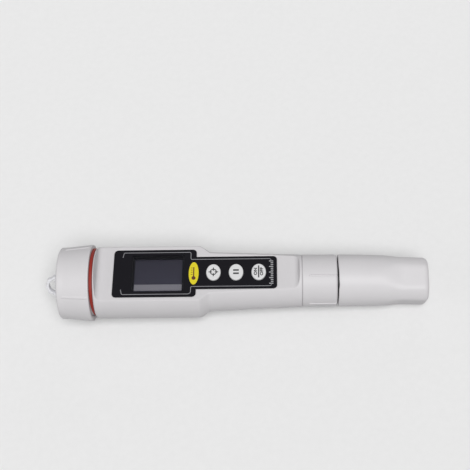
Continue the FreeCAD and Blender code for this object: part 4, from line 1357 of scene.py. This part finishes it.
CARRIED_OVER = {
    "housing": MouldedPlastic("white_abs_case", (0.66, 0.645, 0.66, 1.0), edge=0.9),
    "collar_seal": BLACK_RUBBER,
    "probe_seal": BLACK_RUBBER,
    "panel_overlay": GlossFilm("panel_film", (0.006, 0.0055, 0.0085, 1.0)),
    "display_window": ClearPane("window_clear", (0.80, 0.80, 0.84, 1.0)),
    "key_cal": KEY_RUBBER,
    "key_hold": KEY_RUBBER,
    "key_power": KEY_RUBBER,
    "lcd_bezel": BLACK_ABS,
    "lcd_glass": DisplayGlass("lcd_glass", (0.060, 0.057, 0.074, 1.0)),
    "zebra_strips": SoftRubber("zebra_rubber", (0.25, 0.25, 0.28, 1.0)),
    "circuit_board": SolderMask("board_green", (0.012, 0.09, 0.03, 1.0)),
    "tact_switches": MouldedPlastic("switch_black", grey(0.015), 0.3, 0.1),
    "board_chips": MouldedPlastic("chip_black", grey(0.02), 0.55, 0.08),
    "board_capacitors": GlossFilm("capacitor_sleeve", (0.012, 0.016, 0.05, 1.0), 0.25, 0.3, 0.5),
    "chassis": BLACK_ABS,
    "board_screws": Metal("screw_steel", (0.55, 0.55, 0.57, 1.0), 0.3),
    "battery_holder": MouldedPlastic("holder_black", grey(0.02), 0.45),
    "button_cells": Metal("cell_steel", grey(0.62), 0.22),
    "battery_contacts": Metal("contact_nickel", (0.6, 0.57, 0.5, 1.0), 0.28),
    "battery_spring": Metal("spring_steel", grey(0.58), 0.25),
    "battery_leads": GlossFilm("lead_pvc", (0.32, 0.015, 0.01, 1.0), 0.35, 0.2, 0.5),
    "probe_socket": MouldedPlastic("socket_nylon", grey(0.03), 0.5, 0.15),
    "probe_body": MouldedPlastic("probe_black", (0.018, 0.018, 0.02, 1.0), 0.38, 0.12),
    "probe_pins": Metal("pin_gold", (0.8, 0.58, 0.25, 1.0), 0.2),
    "sensing_pins": Metal("electrode_steel", grey(0.62), 0.12),
    "temperature_sensor": Metal("sensor_steel", grey(0.64), 0.14),
}


def dress_nodes() -> None:
    """Gives each carried-over solid its finish."""
    for name, finish in CARRIED_OVER.items():
        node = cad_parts[name]
        for slot in node.material_slots:
            slot.material = material_of(finish)
        log.info("finished %s with %s", name, finish.name)


@dataclass
class Studio:
    """Camera, floor and lamps."""

    distance: float = 538.4
    focal: float = 82.48
    sensor: float = 36.0
    elevation: float = 60.0
    roll: float = -0.51
    pitch: float = -2.31
    rise: float = -23.21
    rest_left: Pair = (-17.0, 1.33)
    rest_right: Pair = (91.5, 7.05)
    ambient: float = 0.28
    backdrop: float = 0.85
    # grey the floor gives to bounced light: a painted shade on the pen's lower sides
    painted_shade_bounce: float = 0.4
    floor_half: float = 1500.0
    floor_rows: int = 31

    def build_camera(self) -> None:
        """Sets the camera: it looks down at the elevation, and the pen lies turned by pitch
        and roll before it, so the camera takes both turns the other way round."""
        a, r, e = (math.radians(v) for v in (self.roll, self.pitch, self.elevation))
        turn = Matrix.Rotation(a, 3, "Z") @ Matrix.Rotation(r, 3, "Y")
        right = Vector((1, 0, 0))
        up = Vector((0, math.sin(e), math.cos(e)))
        forward = Vector((0, math.cos(e), -math.sin(e)))
        centre = -self.distance * forward - self.rise * up
        back = turn.transposed()
        axes = Matrix([back @ right, back @ up, -(back @ forward)]).transposed()
        data = bpy.data.cameras.new("camera")
        data.lens, data.sensor_width = self.focal, self.sensor
        data.clip_start, data.clip_end = 0.02, 20.0
        camera = add_object("camera", data)
        spot = (back @ centre + Vector((0, 0, AXIS_HEIGHT))) * MM
        camera.matrix_world = Matrix.Translation(spot) @ axes.to_4x4()
        bpy.context.scene.camera = camera

    def build_floor(self) -> None:
        """Lays a pale floor through the two points that the pen rests on."""
        (x0, z0), (x1, z1) = self.rest_left, self.rest_right
        slope = (z1 - z0) / (x1 - x0)
        rows = self.floor_rows
        size = np.linspace(-self.floor_half, self.floor_half, rows)
        x, y = np.meshgrid(size, size, indexing="ij")
        xyz = np.stack([x, y, z0 + slope * (x - x0) - 0.02], -1).reshape(-1, 3) * MM
        mesh = bpy.data.meshes.new("floor")
        faces = grid_faces(rows, rows, False, False)[:, ::-1]
        mesh.from_pydata(xyz.tolist(), [], faces.tolist())
        paint = Paint("floor_paper")
        speck = paint.noise(3.0, 3.0)
        paper = paint.blend(speck, grey(0.82), grey(0.86))
        # painted shade: bounced light meets a darker grey than the camera sees, so the pen's lower
        # sides come out darker
        paint.set(Base_Color=paint.blend(paint.seen(), grey(self.painted_shade_bounce), paper), Roughness=0.8)
        mesh.materials.append(paint.material)
        floor = add_object("floor", mesh)

    def lamp(self, name: str, kind: str, spot: Triple, **settings: float) -> None:
        """Adds a soft lamp that looks at the pen.

        Args:
            name: the lamp's name.
            kind: AREA or SUN.
            spot: its place in metres; for a sun only the direction counts.
            settings: its energy, and its size or its angle.
        """
        data = bpy.data.lights.new(name, kind)
        for key, value in settings.items():
            setattr(data, key, value)
        lamp = add_object(name, data)
        place = Vector(spot)
        turn = (Vector((0.0, 0.0, 0.01)) - place).to_track_quat("-Z", "Y")
        lamp.matrix_world = Matrix.Translation(place) @ turn.to_matrix().to_4x4()

    def build_world(self) -> None:
        """Sets a dim world that lights softly and shows itself as a paler backdrop."""
        world = bpy.data.worlds.new("studio")
        bpy.context.scene.world = world
        world.use_nodes = True
        paint = Paint.over(world.node_tree)
        background = world.node_tree.nodes["Background"]
        level = paint.seen() * (self.backdrop - self.ambient) + self.ambient
        paint.feed(background.inputs["Color"], grey(0.9))
        paint.feed(background.inputs["Strength"], level)

    def build(self) -> None:
        """Builds the camera, the floor, the lamps and the world."""
        bpy.context.scene.view_settings.view_transform = "Standard"
        self.build_camera()
        self.build_floor()
        self.lamp("key_sun", "SUN", (0.1, -0.42, 0.85), energy=2.33, angle=math.radians(36))
        self.lamp("fill_lamp", "AREA", (-0.75, -0.35, 0.45), energy=0.5, size=0.6)
        self.lamp("back_lamp", "AREA", (0.2, 0.95, 0.4), energy=0.65, size=0.6)
        self.build_world()


def main() -> None:
    """Dresses the solids, builds each sub-assembly in turn and sets the studio."""
    logging.basicConfig(level=logging.INFO, format="%(message)s")
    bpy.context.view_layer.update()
    dress_nodes()
    assemblies = (
        Housing(), BatteryCap(), SealRing(), DisplayPanel(), Keys(), Collar(), ProtectiveCap()
    )
    for assembly in assemblies:
        assembly.build()
        log.info("built %s", type(assembly).__name__)
    Studio().build()


if __name__ == "__main__":
    main()
